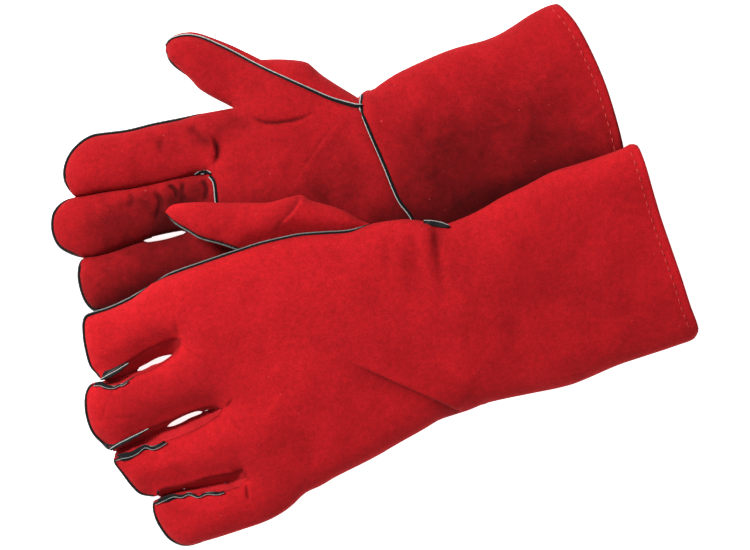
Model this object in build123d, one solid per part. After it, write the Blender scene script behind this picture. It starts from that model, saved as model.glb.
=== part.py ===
from build123d import *
import os
from math import cos, sin, sqrt, hypot, radians, degrees, asin, pi

# A pair of lined leather welding gauntlets. The right glove lies flat on its back, palm up.
# The left glove lies over its lower half, back of the hand up, with its thumb side raised.
# Each glove has its own pattern frame: u runs from the fingers to the cuff, v from the little
# finger side to the thumb side, w up from the seam plane. Lengths are millimetres.

# ---------------------------------------------------------------- driving dimensions
leather = 1.4            # suede thickness
fleece = 1.8             # hand lining thickness
canvas = 1.0             # cuff lining thickness
play = 0.15              # air between a panel and its lining
seam_half = 0.6          # half the gap between two panels at a seam
welt_half = 0.5          # half the thickness of a welt strip
welt_out = 2.2           # how far a welt stands out of its seam
welt_in = 1.2            # how far a welt reaches into its seam
cut = 0.15               # half the gap between two pieces that bend against each other
slot_gap = 5.4           # clear width between the leather of two neighbouring fingers

arm_angle = 19.5         # heading of both cuffs in the floor plane, degrees
left_tilt = 12.5         # roll of the left glove, degrees
left_origin = (48.97, -25.96, 24.2)
right_origin = (13.57, 57.23, 9.2)

hand_up, hand_down = 18.5, 9.0
digit_up, digit_down = 12.5, 9.0
cuff_up, cuff_down = 17.5, 9.0
hem_inset = 8.0          # stitch row from the cuff mouth
stitch_len, stitch_pitch = 3.6, 6.4

# hand and cuff rows: (u, thumb-side v, little-finger-side v) of the leather edges
# digit rows: (outer edge point, crotch edge point, drop of the seam line)
LEFT = dict(
    name="left", palm=-1, tilt=left_tilt, origin=left_origin, moving=(0, 1, 2, 3),
    hand=[(-110, 80, -66), (-70, 77, -60), (-30, 67.5, -53), (0, 59.5, -52)],
    cuff=[(0, 59.5, -52), (30, 56, -56.5), (80, 59.5, -57.5), (132.7, 60.6, -57.6)],
    knuckle=(-161.8, 79.5), aim=186.3,
    widths=(37.5, 45, 40, 34.5), lengths=(50, 68.5, 69, 60),
    thumb=[((-36, 72.6), (-110, 84.2), 0), ((-61, 98.5), (-113.5, 87.5), -1.5),
           ((-90, 105), (-118.5, 91.5), -4), ((-112, 114.5), (-125, 98), -6.5),
           ((-125, 117.8), (-130.5, 105), -8), ((-133.5, 117.2), (-135, 111.5), -8.5)],
    mouth=None)
RIGHT = dict(
    name="right", palm=1, tilt=0.0, origin=right_origin, moving=(0,),
    hand=[(-72, 69, -56), (-40, 61.5, -54), (0, 54, -52)],
    cuff=[(0, 54, -52), (22, 59, -54), (76, 61, -58), (136, 66, -60)],
    knuckle=(-97.4, 74.6), aim=171.0,
    widths=(36, 33, 33, 32), lengths=(85.5, 97.5, 88, 72),
    thumb=[((-8, 57), (-77, 73.2), 0), ((-28, 83.5), (-82, 78.8), 0),
           ((-51, 93.5), (-87, 85.5), 0), ((-67, 107.5), (-92, 92), 0),
           ((-80, 117.5), (-97, 100.5), 0), ((-90, 121.5), (-101, 109), 0),
           ((-98.5, 120.8), (-103, 115), 0)],
    mouth=(215.0, 132.4, 4.0))       # mouth curve: radius, u of its furthest point, v of its centre
FINGERS = ("index", "middle", "ring", "little")


# ---------------------------------------------------------------- sections
class Row:
    """One cross-section of a tube between edge points a and b. It faces forward along its heading."""

    def __init__(self, a, b, up, down, w=0.0, power=2.0):
        self.a, self.b, self.up, self.down, self.w, self.power = a, b, up, down, w, power

    def width(self):
        return hypot(self.b[0] - self.a[0], self.b[1] - self.a[1])

    def lateral(self):
        return (self.b[0] - self.a[0]) / self.width(), (self.b[1] - self.a[1]) / self.width()

    def plane(self):
        lu, lv = self.lateral()
        middle = ((self.a[0] + self.b[0]) / 2, (self.a[1] + self.b[1]) / 2, self.w)
        return Plane(origin=middle, x_dir=(lu, lv, 0), z_dir=(lv, -lu, 0))

    def moved(self, inset, ahead=0.0):
        """This row drawn in by inset all round and shifted ahead along its heading."""
        lu, lv = self.lateral()
        side = min(inset, self.width() * 0.40)
        du, dv = lv * ahead, -lu * ahead
        return Row((self.a[0] + lu * side + du, self.a[1] + lv * side + dv),
                   (self.b[0] - lu * side + du, self.b[1] - lv * side + dv),
                   max(self.up - inset, 0.8), max(self.down - inset, 0.8), self.w, self.power)


def crown(half_width, height, power, turn):
    """Rounded arch over the seam plane, turn +1 above and -1 below, running from +x to -x."""
    rise = []
    for k in range(1, 4):
        a = pi * k / 8
        rise.append((half_width * cos(a) ** (2 / power), turn * height * sin(a) ** (2 / power)))
    fall = [(-x, y) for x, y in rise[::-1]]
    return Spline([(half_width, 0)] + rise + [(0, turn * height)] + fall + [(-half_width, 0)])


def half_section(row, side):
    arch = crown(row.width() / 2, row.up if side > 0 else row.down, row.power, side)
    return row.plane() * make_face([arch, Line(arch @ 1, arch @ 0)])


def full_section(row):
    top = crown(row.width() / 2, row.up, row.power, 1)
    bottom = crown(row.width() / 2, row.down, row.power, -1)
    return row.plane() * make_face([top, bottom])


def drawn(rows, inset, back=0.0, ahead=0.0, tip=0.0):
    """Rows drawn in by inset. The first shifts back, the last ahead; a closed tip draws in by tip."""
    count = len(rows)
    out = [r.moved(inset, -tip * max(0.0, (i - count + 4) / 3)) for i, r in enumerate(rows)]
    out[0] = rows[0].moved(inset, -back)
    if ahead:
        out[-1] = rows[-1].moved(inset, ahead)
    return out


def half_solid(rows, side, inset=0.0, **ends):
    return loft([half_section(r, side) for r in drawn(rows, inset, **ends)], ruled=True)


def full_solid(rows, inset=0.0, **ends):
    return loft([full_section(r) for r in drawn(rows, inset, **ends)], ruled=True)


def plate(rows, grow, half_thick, **ends):
    """Flat strip in the seam plane, as wide as the rows grown by grow."""
    strips = [r.plane() * Rectangle(r.width(), 2 * half_thick) for r in drawn(rows, -grow, **ends)]
    return loft(strips, ruled=True)


def raised(rows, side, lift, **ends):
    """Thin layer lying on the outside of a panel, to be trimmed to a strip."""
    layer = half_solid(rows, side, -lift, **ends) - half_solid(rows, side, -0.02, **ends)
    return Pos(0, 0, side * seam_half) * layer


# ---------------------------------------------------------------- the tubes of one glove
def finger_rows(root, aim, width, length):
    """Straight finger with a rounded tip. root is the middle of its root line."""
    hu, hv = cos(radians(aim)), sin(radians(aim))
    lu, lv = -hv, hu                       # towards the little finger side, as hu is negative
    nose = 0.5 * width
    stations = [(cut, 1.0)]
    for x in (0, 0.4, 0.7, 0.88, 0.97, 1.0):
        stations.append((length - nose * (1 - x), max(0.2, sqrt(1 - x * x))))
    rows = []
    for s, share in stations:
        cu, cv, half, tall = root[0] + hu * s, root[1] + hv * s, width / 2 * share, 0.3 + 0.7 * share
        rows.append(Row((cu - lu * half, cv - lv * half), (cu + lu * half, cv + lv * half),
                        digit_up * tall, digit_down * tall))
    return rows


def glove_rows(g):
    """Rows of the fingers, hand, cuff and thumb. The tilted pattern is widened to keep its plan."""
    scale = 1 / cos(radians(g["tilt"]))
    hu, hv = cos(radians(g["aim"])), sin(radians(g["aim"]))
    lu, lv = -hv, hu
    top = (g["knuckle"][0], g["knuckle"][1] * scale)
    fingers, reach = [], 0.0
    for width, length in zip(g["widths"], g["lengths"]):
        wide = width * scale
        root = (top[0] + lu * (reach + wide / 2), top[1] + lv * (reach + wide / 2))
        fingers.append(finger_rows(root, g["aim"], wide - slot_gap, length))
        reach += wide
    hi = (top[0] - lu * 1.5 - hu * cut, top[1] - lv * 1.5 - hv * cut)
    lo = (top[0] + lu * (reach - 1.5) - hu * cut, top[1] + lv * (reach - 1.5) - hv * cut)
    hand = [Row(lo, hi, digit_up + 1.6, hand_down, 0, 4.0)]
    hand += [Row((u, b * scale), (u, a * scale), hand_up, hand_down, 0, 2.3) for u, a, b in g["hand"]]
    hand[-1] = hand[-1].moved(0, -cut)
    cuff = [Row((u, b * scale), (u, a * scale), cuff_up, cuff_down, 0, 2.3) for u, a, b in g["cuff"]]
    cuff[0] = cuff[0].moved(0, cut)
    hand[-1].up = cuff_up
    talls = (0.55, 0.95, 1.0, 0.93, 0.8, 0.62, 0.45)
    thumb = []
    for i, (outer, crotch, drop) in enumerate(g["thumb"]):
        tall = talls[i if i < 4 else i + 7 - len(g["thumb"])]
        thumb.append(Row((outer[0], outer[1] * scale), (crotch[0], crotch[1] * scale),
                         digit_up * tall, digit_down * tall, drop))
    return fingers, hand, cuff, thumb


def mouth_trim(g):
    """Solid that keeps everything inside a rounded cuff mouth."""
    radius, u, v = g["mouth"]
    return Pos(u - radius, v, 0) * Cylinder(radius, 200)


def digit(rows, names, slots, fork, air=play):
    """Front, back, welt, lining and fork of one digit. names maps +1 and -1 to its two panels."""
    out = {}
    for side in (1, -1):
        shell = half_solid(rows, side) - Pos(0, 0, -side * 0.05) * half_solid(rows, side, leather,
                                                                         back=1, tip=leather)
        out[names[side]] = Pos(0, 0, side * seam_half) * shell
    if slots:
        wide = rows[0].width()
        low = out[names[-1]]
        walls = [rows[2].plane() * Pos(s * wide * 0.58, 0, 0) * Box(wide * 0.4, 60, 400) for s in slots]
        strips = [low & wall for wall in walls]
        for wall in walls:
            low = low - wall
        out[names[-1]], out[fork] = low, strips
    out["welt"] = plate(rows, welt_out, welt_half, tip=-welt_out) - plate(rows, -welt_in, 2, back=1, tip=welt_in)
    bed = leather + air
    out["lining"] = full_solid(rows, bed, tip=bed) - full_solid(rows, bed + fleece, back=1, tip=bed + fleece)
    return out


def edge_strip(points, outward):
    """Welt along an open seam edge; outward is +1 where the free side faces the thumb."""
    outer = [(u, v + outward * welt_out) for u, v in points]
    inner = [(u, v - outward * welt_in) for u, v in points]
    a, b = Spline(outer), Spline(inner[::-1])
    return extrude(make_face([a, Line(a @ 1, b @ 0), b, Line(b @ 1, a @ 0)]), welt_half, both=True)


def stitches(g, cuff):
    """Thread dashes on both sides of the cuff, one row round the mouth."""
    dashes = []
    half_width = cuff[-1].width() / 2
    centre = (cuff[-1].a[1] + cuff[-1].b[1]) / 2
    count = int((half_width - 8) / stitch_pitch)
    for side in (1, -1):
        layer = raised(cuff, side, 0.45)
        for k in range(-count, count + 1):
            v = centre + k * stitch_pitch
            if g["mouth"]:
                radius, u_tip, v_mid = g["mouth"]
                lean = asin((v - v_mid) / (radius - hem_inset))
                u = u_tip - radius + (radius - hem_inset) * cos(lean)
            else:
                u, lean = cuff[-1].a[0] - hem_inset, 0.0
            block = Pos(u, v, side * 30) * Rot(0, 0, degrees(lean)) * Box(0.9, stitch_len, 60)
            dashes.append(layer & block)
    return dashes


def glove(g):
    """All pieces of one glove in its pattern frame."""
    name, palm = g["name"], g["palm"]
    fingers, hand, cuff, thumb = glove_rows(g)
    fixed = [i for i in range(4) if i not in g["moving"]]
    bed = leather + play
    root = thumb[0].moved(leather + 0.5)
    root.up, root.down = 5.0, 4.2
    entrance = [root.moved(0, -14), root.moved(0, 1)]
    pieces = {}

    # hand panels: closed at the knuckles but for the finger roots, open at the wrist
    for side in (1, -1):
        body = half_solid(hand, side)
        for i in fixed:
            body = body + half_solid(fingers[i], side, back=2 * cut + 0.6)
        bores = [half_solid(hand, side, leather, back=-leather, ahead=1), half_solid(entrance, side)]
        bores += [half_solid(fingers[i], side, leather, back=5, tip=leather if i in fixed else 0)
                  for i in range(4)]
        for k, bore in enumerate(bores):
            body = body - Pos(0, 0, -side * (0.05 + 0.01 * k)) * bore
        pieces[name + ("_palm" if side == palm else "_back")] = Pos(0, 0, side * seam_half) * body
    # hand lining with the bags of the fingers that do not bend
    body = full_solid(hand, bed, back=-bed)
    for i in fixed:
        body = body + full_solid(fingers[i], bed, back=bed + 1.2, tip=bed)
    body = body - full_solid(hand, bed + fleece, back=-bed - fleece, ahead=1)
    for i in range(4):
        body = body - full_solid(fingers[i], bed + fleece, back=9, tip=bed + fleece)
    pieces[name + "_hand_lining"] = body - full_solid(entrance)

    # cuff: the back runs on from the hand, the palm side is its own panel behind the wrist welt
    for side in (1, -1):
        shell = half_solid(cuff, side) - Pos(0, 0, -side * 0.05) * half_solid(cuff, side, leather, back=1, ahead=1)
        pieces[name + ("_cuff_palm" if side == palm else "_cuff_back")] = Pos(0, 0, side * seam_half) * shell
    pieces[name + "_cuff_lining"] = full_solid(cuff, bed) - full_solid(cuff, bed + canvas, back=1, ahead=1)
    pieces[name + "_hem_stitches"] = stitches(g, cuff)
    if g["mouth"]:
        for key in ("_cuff_palm", "_cuff_back", "_cuff_lining"):
            pieces[name + key] = pieces[name + key] & mouth_trim(g)

    # raised seams of the palm face
    layer = raised(hand, palm, 1.8)
    pieces[name + "_wrist_welt"] = layer & Pos(-0.9, 0, 0) * Box(1.2, 400, 100)
    knuckle = hand[0].plane()
    wide = hand[0].width()
    reach = (g["widths"][1] + g["widths"][2]) / sum(g["widths"]) * wide
    shift = (g["widths"][3] - g["widths"][0]) / 2
    block = knuckle * Pos(shift, 0, 3.0) * Box(reach, 100, 1.2)
    pieces[name + "_palm_seam_welt"] = layer & block

    # welt of the thumb-side seam, broken where the thumb opens into the hand
    edge = [r.b for r in hand]
    strip = edge_strip(edge, 1) - plate([thumb[0].moved(0, -14), thumb[0].moved(0, 8)], 1.0 + welt_out, 8)
    strip = strip - hand[0].plane() * Pos(0, 0, -4.6) * Box(400, 50, 10)
    pieces[name + "_side_welt"] = [s for s in strip.solids() if s.volume > 2]

    # digits
    slots = {0: (1,), 1: (-1, 1), 2: (-1, 1), 3: (-1,)}
    faces = {palm: "front", -palm: "back"}
    for i, finger in enumerate(FINGERS):
        made = digit(fingers[i], faces, slots[i], "fork")
        if i in g["moving"]:
            for key, shape in made.items():
                pieces[f"{name}_{finger}_{key}"] = shape
        else:
            pieces.setdefault(name + "_fingers_welt", []).append(made["welt"])
            pieces.setdefault(name + "_finger_forks", []).extend(made["fork"])
    made = digit(thumb, faces, (), "fork", 5 * play)
    for key in ("front", "back"):
        made["welt"] = made["welt"] - made[key]
        made["lining"] = made["lining"] - made[key]
    made["lining"] = made["lining"] - made["welt"]
    for key, shape in made.items():
        pieces[f"{name}_thumb_{key}"] = shape

    # fingers that do not bend: their low side strips are the forks, and the raised middle pair
    # is its own front panel
    if fixed:
        low = "_back" if palm > 0 else "_palm"
        high = "_palm" if palm > 0 else "_back"
        for i in fixed:
            wide = fingers[i][0].width()
            for s in slots[i]:
                wall = fingers[i][2].plane() * Pos(s * wide * 0.58, 0, 0) * \
                    Pos(0, 0, 200 - (fingers[i][2].plane().to_local_coords(
                        Vector(*fingers[i][0].a, 0)).Z * -1)) * Box(wide * 0.4, 60, 400)
                pieces[name + low] = pieces[name + low] - wall
        pair = hand[0].plane() * Pos(shift, 0, -200 + 2.4) * Box(reach, 100, 400)
        pieces[name + "_middle_fingers_front"] = pieces[name + high] & pair
        pieces[name + high] = pieces[name + high] - pair
    return pieces


def placement(g):
    a, t = radians(arm_angle), radians(g["tilt"])
    return Plane(origin=g["origin"], x_dir=(cos(a), sin(a), 0),
                 z_dir=(sin(a) * sin(t), -cos(a) * sin(t), cos(t))).location


def build():
    parts = {}
    for g in (RIGHT, LEFT):
        floor = Pos(0, 0, 250) * Box(1500, 1500, 500)
        for key, shape in glove(g).items():
            shapes = shape if isinstance(shape, list) else [shape]
            solids = [s for item in shapes for s in item.solids()]
            solids = [placement(g) * s for s in solids]
            if g is RIGHT:
                lying = [item & floor for item in solids]
                solids = [s for item in lying if item is not None for s in item.solids()]
            parts[key] = solids
    return parts


if __name__ == "__main__":
    os.makedirs("parts", exist_ok=True)
    parts = build()
    box = Compound([s for solids in parts.values() for s in solids]).bounding_box()
    home = Pos(-(box.min.X + box.max.X) / 2, -(box.min.Y + box.max.Y) / 2, -box.min.Z)
    for name, solids in parts.items():
        moved = [home * s for s in solids]
        print(name, len(moved), round(sum(s.volume for s in moved), 1), flush=True)
        export_step(moved[0] if len(moved) == 1 else Compound(moved), f"parts/{name}.step")
    print("moved home by", home.position, "size", box.size)
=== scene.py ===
import bpy
import math
import numpy as np
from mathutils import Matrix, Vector, noise
from mathutils.bvhtree import BVHTree
from mathutils.geometry import delaunay_2d_cdt


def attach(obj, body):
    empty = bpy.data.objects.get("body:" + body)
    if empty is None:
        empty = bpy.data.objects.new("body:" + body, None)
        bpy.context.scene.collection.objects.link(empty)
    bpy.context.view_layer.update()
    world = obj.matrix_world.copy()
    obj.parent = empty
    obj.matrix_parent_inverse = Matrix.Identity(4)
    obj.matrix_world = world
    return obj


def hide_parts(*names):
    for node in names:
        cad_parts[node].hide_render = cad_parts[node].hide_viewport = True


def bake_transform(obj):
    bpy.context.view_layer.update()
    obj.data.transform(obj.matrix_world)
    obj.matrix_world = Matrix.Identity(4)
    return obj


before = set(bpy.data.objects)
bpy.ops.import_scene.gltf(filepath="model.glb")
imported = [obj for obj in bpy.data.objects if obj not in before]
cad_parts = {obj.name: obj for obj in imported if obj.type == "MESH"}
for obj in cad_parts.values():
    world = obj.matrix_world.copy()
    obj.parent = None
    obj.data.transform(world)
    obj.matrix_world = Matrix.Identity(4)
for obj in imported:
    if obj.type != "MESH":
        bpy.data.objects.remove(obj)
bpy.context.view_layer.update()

# A pair of red suede welding gauntlets lying on a table, millimetres in the row frame.
# Every outline is the flat plan of a panel; heights come from a soft pillow over it.
MM = 0.001
ARM = math.radians(19.5)          # heading of the cuffs
STEP = 2.4                        # spacing of outline points
GRID = 2.5                        # spacing of inner points
WELT_STEP = 1.6                   # spacing of the sections of a welt
SAME = 0.3                        # outline points closer than this are one point
SNAP = 4.5                        # a cut line this near the outline ends on it
SKIN = 1.3                        # leather thickness
THINNEST = 0.12                   # leather where two panels meet in a seam
LINING = 0.7                      # thickness of a lining
LINING_GAP = 0.45                 # space between lining and leather
SEAM_CLEAR = 2.4                  # how far a lining stays from the seams
STRIP = 0.6                       # thickness of a finger side strip
SLOT_RISE = 5.0                   # top edge of the finger side strips above the seam height
SLOT_DROP = 3.2                   # and their lower edge below it
FORK = 1.7                        # half the height of the lower glove's side strips
WELT_RISE = 0.6                   # half the thickness of a welt in its seam
PLAIN = 0.08                      # half the gap of a seam without a welt
SEAT = 0.25                       # share of those two heights that the lower panel goes down
WELT_SHOWN = 1.4                  # width of welt seen beyond the panel
CLOSED_SLOT = 2.0                 # a slot narrower than this is drawn shut
HEM = 5.6                         # stitch row behind the mouth
FOLD_REACH = 30                   # a fold is worked out this far round its line
RIGHT_PAD = 17.5                  # height of the lower glove's palm over its seams
LEFT_PAD = 17.0                   # height of the upper glove's back over its seams
THUMB_PAD = 12.0                  # and of its thumb
PAD_RUN = 15.0                    # distance from a seam over which a pad rises
FLAT_BELOW = 0.9                  # the lower glove's back flattens out below this height
HIDDEN = -50.0                    # height taken where there is no lower glove
DIGITS = ("index", "middle", "ring", "little")

# ------------------------------------------------------------------ outlines, mm, seen from above
# lower glove, palm up: outline in order from the cuff mouth
RIGHT = dict(
    mouth=[(108.7, 165.2), (118.2, 153.4), (127, 137.5), (135.9, 116.9), (140.6, 102.7), (144.7, 88),
        (148.3, 71.4), (150, 59.6), (150, 49.6)],
    cuff_low=[(150, 49.6), (127, 40.8), (104, 31.3), (73.9, 22.5), (50.3, 15.4), (30.9, 10.7)],
    hand_low=[(30.9, 10.7), (12, 5.4), (-6.3, -3.5), (-35.8, -15.9), (-52.9, -23), (-73, -31.2),
        (-97.2, -35.9), (-120.8, -40.1), (-135.5, -41.8), (-145.6, -40.1), (-150.9, -33.6), (-151.5, -25.9),
        (-146.1, -18.2), (-138.5, -14.7), (-120.8, -11.8), (-81.8, -5.9)],
    ring_low=[(-80.1, -5.3), (-81.8, -4.7), (-120.8, -10.3), (-144.4, -14.1), (-159.1, -17.1),
        (-166.8, -18), (-172.1, -13.5), (-175.6, -5.3), (-177.1, 3.6), (-176.2, 10.1), (-173.9, 13),
        (-168, 14.3), (-156.2, 17.2), (-147.3, 20.4), (-141.4, 22.5), (-132.6, 23.5), (-123.7, 25.2),
        (-110.7, 29.1), (-100.1, 31.9)],
    middle_low=[(-96, 33.4), (-100.1, 32.8), (-110.7, 30.7), (-123.7, 28.4), (-132.6, 26.3), (-141.4, 23.5),
        (-147.3, 21.4), (-156.2, 18.3), (-165, 15.7), (-174.5, 14.4), (-182.7, 16.6), (-188.6, 20.7),
        (-191.9, 27.2), (-192.8, 33.1), (-191.6, 40.8), (-187.4, 46.1), (-182.7, 48.7), (-178.6, 49.6),
        (-162.1, 52.4), (-141.4, 55.3), (-117.8, 60.3), (-104.3, 62.8)],
    index_low=[(-100.7, 63.8), (-104.3, 64), (-117.8, 61.5), (-141.4, 56.4), (-162.1, 53.4), (-178.6, 50.7),
        (-182.1, 54.3), (-185.1, 59.6), (-185.7, 65.5), (-183.9, 72.6), (-179.8, 79.1), (-173.9, 84.4),
        (-168, 87.4), (-162.1, 88.4), (-147.3, 90.3), (-132.6, 93.9), (-117.8, 96.8), (-103.1, 99.8),
        (-87.7, 102.6)],
    thumb_low=[(-84.2, 103.1), (-90.1, 106.2), (-97.2, 109.8), (-104.8, 114.5), (-109, 119.2),
        (-113.1, 123.1), (-119.6, 127.8), (-123.1, 132.2), (-124.9, 137.5), (-123.7, 142.8),
        (-120.2, 146.1), (-114.9, 147.8), (-109, 148.4), (-103.1, 147.2), (-94.2, 144), (-85.4, 140.5),
        (-76.5, 136.3), (-67.7, 131.9)],
    hump=[(-67.7, 131.9), (-58.8, 132.2), (-50, 131.9), (-42.9, 131), (-39.4, 129.8), (-32.3, 123.4),
        (-23.4, 117.5), (-14.6, 112.1), (-9.9, 109.2)],
    cuff_top=[(-9.9, 109.2), (-7.5, 112.1), (-4.5, 113.9), (-1.6, 113.9), (3.1, 117.2), (12, 123.1),
        (20.8, 127.5), (29.7, 131.6), (38.5, 135.4), (47.4, 138.7), (56.2, 141.1), (65.1, 143.4),
        (73.9, 147), (82.8, 152.3), (91.6, 158.2), (100.5, 162.9), (105.2, 164.7), (108.7, 165.2)])
# seams and bending lines that cross it
RIGHT_LINES = dict(
    index_root=[(-100.7, 63.8), (-101.3, 77.3), (-102.5, 89.1), (-103.7, 99.8)],
    thumb_root=[(-84.2, 103.1), (-61.8, 105.7), (-38.2, 108), (-9.9, 109.2)],
    thumb_welt=[(-124, 136.3), (-124.3, 139.9), (-122, 143.1), (-117.8, 144.9), (-110.7, 145.8),
        (-103.1, 144.3), (-94.2, 140.5), (-85.4, 136.3), (-73.6, 129.8), (-64.7, 125.1), (-52.3, 119.2),
        (-44.1, 115.4), (-35.2, 111.3), (-26.4, 107.4), (-17.5, 104.5), (-11.6, 102.8), (-7.5, 102.4)],
    wrist=[(-4.5, 113.9), (-6.9, 111), (-7.5, 102.1), (-2.8, 89.1), (6.1, 68.5), (14.9, 47.8), (22.6, 37.2),
        (30.9, 10.7)],
    gunn=[(-100.7, 63.8), (-97.2, 62.6), (-94.5, 59), (-93.6, 53.7), (-93, 47.8), (-91, 39), (-84, 27.5),
        (-75.5, 17), (-75, 6), (-80.1, -5.3)])
# welts along its outline
RIGHT_WELTS = dict(
    index=RIGHT["index_low"][17:4:-1],
    middle=RIGHT["middle_low"][17:5:-1] + [(-132.6, 26)],
    ring=RIGHT["ring_low"][12:2:-1],
    little=RIGHT["hand_low"][14:6:-1],
    thumb=[(-124, 136.3)] + RIGHT["thumb_low"][7:4:-1])
# upper glove, back up; its slots are the gaps between one digit and the next
LEFT = dict(
    mouth=[(153.6, 79.7), (157.1, 69.7), (162.4, 52), (167.1, 37.2), (171.3, 25.4), (180.1, 1.8),
        (186, -14.7), (190.2, -24.1), (192.5, -30)],
    cuff_low=[(192.5, -30), (190.2, -34.2), (180.1, -38.3), (162.4, -44.2), (144.7, -50.1), (127, -57.8),
        (118.2, -61.3), (109.3, -63.7), (91.6, -67.2), (73.9, -70.8), (65.1, -73.1), (56.2, -76.7),
        (47.4, -79.6), (38.5, -82.6), (29.7, -87.9), (12, -97.9), (3.1, -103.2), (-5.7, -107.9),
        (-23.4, -116.8), (-32.3, -122.1), (-41.1, -126.2), (-50, -134.5), (-58.8, -140.4), (-67.7, -144.5),
        (-76.5, -147.5), (-94.2, -153.4), (-103.1, -156), (-110.2, -158.1), (-115.5, -158.1),
        (-122.5, -154.8), (-127.9, -148), (-131.4, -140.4), (-132.3, -133.9), (-131.1, -130.9)],
    little_up=[(-131.1, -130.9), (-123.7, -128.3), (-109, -125.9), (-90.7, -124.7), (-80.7, -121.8)],
    ring_low=[(-75.9, -116.8), (-78.9, -112.4), (-84.8, -114.4), (-92.5, -115.2), (-106, -118.8),
        (-116.6, -122), (-126.7, -123.9), (-129.8, -127.6)],
    ring_tip=[(-129.8, -127.6), (-133.8, -128), (-139.7, -126.8), (-144.4, -122.4), (-150, -114.7),
        (-154.4, -107.9), (-154.4, -105)],
    ring_up=[(-154.4, -105), (-145.6, -101.1), (-137.9, -98.5), (-132.6, -97.9), (-124.1, -94.7),
        (-109.7, -89.3), (-100.1, -84), (-92.5, -79)],
    middle_low=[(-90.1, -75.5), (-93, -74.3), (-104.8, -76.1), (-119.2, -82), (-134.1, -87.9),
        (-145.1, -93.2), (-156.8, -99.7)],
    middle_tip=[(-156.8, -99.7), (-162.4, -95.5), (-167.4, -89.6), (-170.6, -80.2), (-171.3, -70.8),
        (-169.7, -63.7), (-166.8, -60.4)],
    middle_up=[(-166.8, -60.4), (-161.5, -59.3), (-157.4, -61), (-152.6, -61.4), (-147.9, -59.8),
        (-140.8, -55.4), (-132.6, -52.2), (-126.7, -49.2), (-120.8, -45.1), (-116.1, -40.7)],
    index_low=[(-113.8, -36.2), (-116.1, -33.9), (-123.1, -35.9), (-133.8, -40.7), (-145.1, -47.6),
        (-161, -57.2)],
    index_tip=[(-161, -57.2), (-164.4, -54.2), (-167.7, -50.1), (-170.3, -40.7), (-171.5, -31.8),
        (-171.2, -23), (-169.2, -19.7)],
    hand_up=[(-169.2, -19.7), (-162.1, -17.1), (-156.2, -15.3), (-144.4, -10), (-132.6, -2.9),
        (-120.8, 4.2), (-111.9, 7.7), (-103.1, 10.7), (-91.3, 14.8), (-80.7, 18.3), (-67.7, 22.5),
        (-55.9, 25.4), (-44.1, 27.8), (-29.3, 29), (-14.6, 30.1), (-1.6, 33.7), (9, 35.4), (17.9, 36.3),
        (26.7, 35.4), (32.6, 34.6), (38.5, 33.4), (42.7, 33.7), (47.4, 35.4), (56.2, 39), (65.1, 43.7),
        (73.9, 49), (88.7, 56.1), (103.4, 63.8), (118.2, 68.5), (132.9, 73.2), (144.7, 77.6), (150, 80.4),
        (153.6, 79.7)])
LEFT_LINES = dict(
    index_root=[(-113.8, -36.2), (-122, -18.8), (-130.2, -1.7)],
    middle_root=[(-113.8, -36.2), (-101.9, -56), (-90.1, -75.5)],
    ring_root=[(-90.1, -75.5), (-83, -96.1), (-75.9, -116.8)],
    little_root=[(-75.9, -116.8), (-70, -129.2), (-63.5, -142.7)],
    wrist=[(28.5, 34.9), (46.8, -17.1), (65.7, -73.1)])
# lower edges of the side strips in its slots
LEFT_LOW_SLOTS = dict(
    little_up=[(-131.1, -130.9), (-129.6, -130.1), (-116.6, -125.9), (-103.1, -123.1), (-93, -120.9),
        (-88.6, -120.2)],
    ring_low=[(-88, -119.5), (-93, -119.9), (-103.1, -121.7), (-116.6, -124.2), (-129, -128.3),
        (-129.8, -127.6)],
    ring_up=[(-154.4, -105), (-154.4, -102.4), (-144.4, -96.6), (-134.3, -91.6), (-127, -88.2),
        (-121.5, -86.6), (-114.5, -83.9), (-109.7, -81.2), (-101, -77.8)],
    middle_low=[(-97.5, -76.2), (-98.9, -75.9), (-107.8, -77.8), (-117.3, -82), (-126.4, -87.4),
        (-134.3, -90.9), (-144.4, -95.9), (-155.6, -101.4), (-156.8, -99.7)],
    middle_up=[(-166.8, -60.4), (-159.7, -59.4), (-153.2, -58.2), (-144, -54.9), (-139.6, -53.5),
        (-134.6, -51.4), (-131, -49.4), (-126.6, -48.2), (-120.8, -44.7)],
    index_low=[(-118.4, -43.4), (-120.8, -43.4), (-126.9, -44.8), (-131, -46.7), (-134.6, -48.8),
        (-139.6, -51.2), (-144, -53.8), (-153.2, -56.8), (-160.3, -58.1), (-161, -57.2)])
THUMB = dict(
    up=[(-122.2, 40.5), (-119.6, 43.7), (-114.9, 45.2), (-103.1, 46.1), (-88.3, 45.8), (-73.6, 45.8),
        (-61.8, 46.1), (-52.9, 48.4), (-47, 49.9), (-42.3, 50.2), (-38.2, 47.5), (-31.1, 45.5),
        (-23.4, 43.4), (-14.6, 39.6), (-7.5, 35.4), (0.8, 32.5)],
    root=[(0.8, 32.5), (7.8, 26.6), (1.9, 20.7), (-17.5, 17.2), (-44.1, 13.6), (-58.8, 11.3), (-68.9, 13)],
    low=[(-68.9, 13), (-80.7, 18), (-91.3, 21.6), (-97.2, 23.1), (-103.1, 25.1), (-109, 28.7),
        (-114.9, 32.2), (-119, 35.7), (-122.2, 40.5)])
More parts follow.
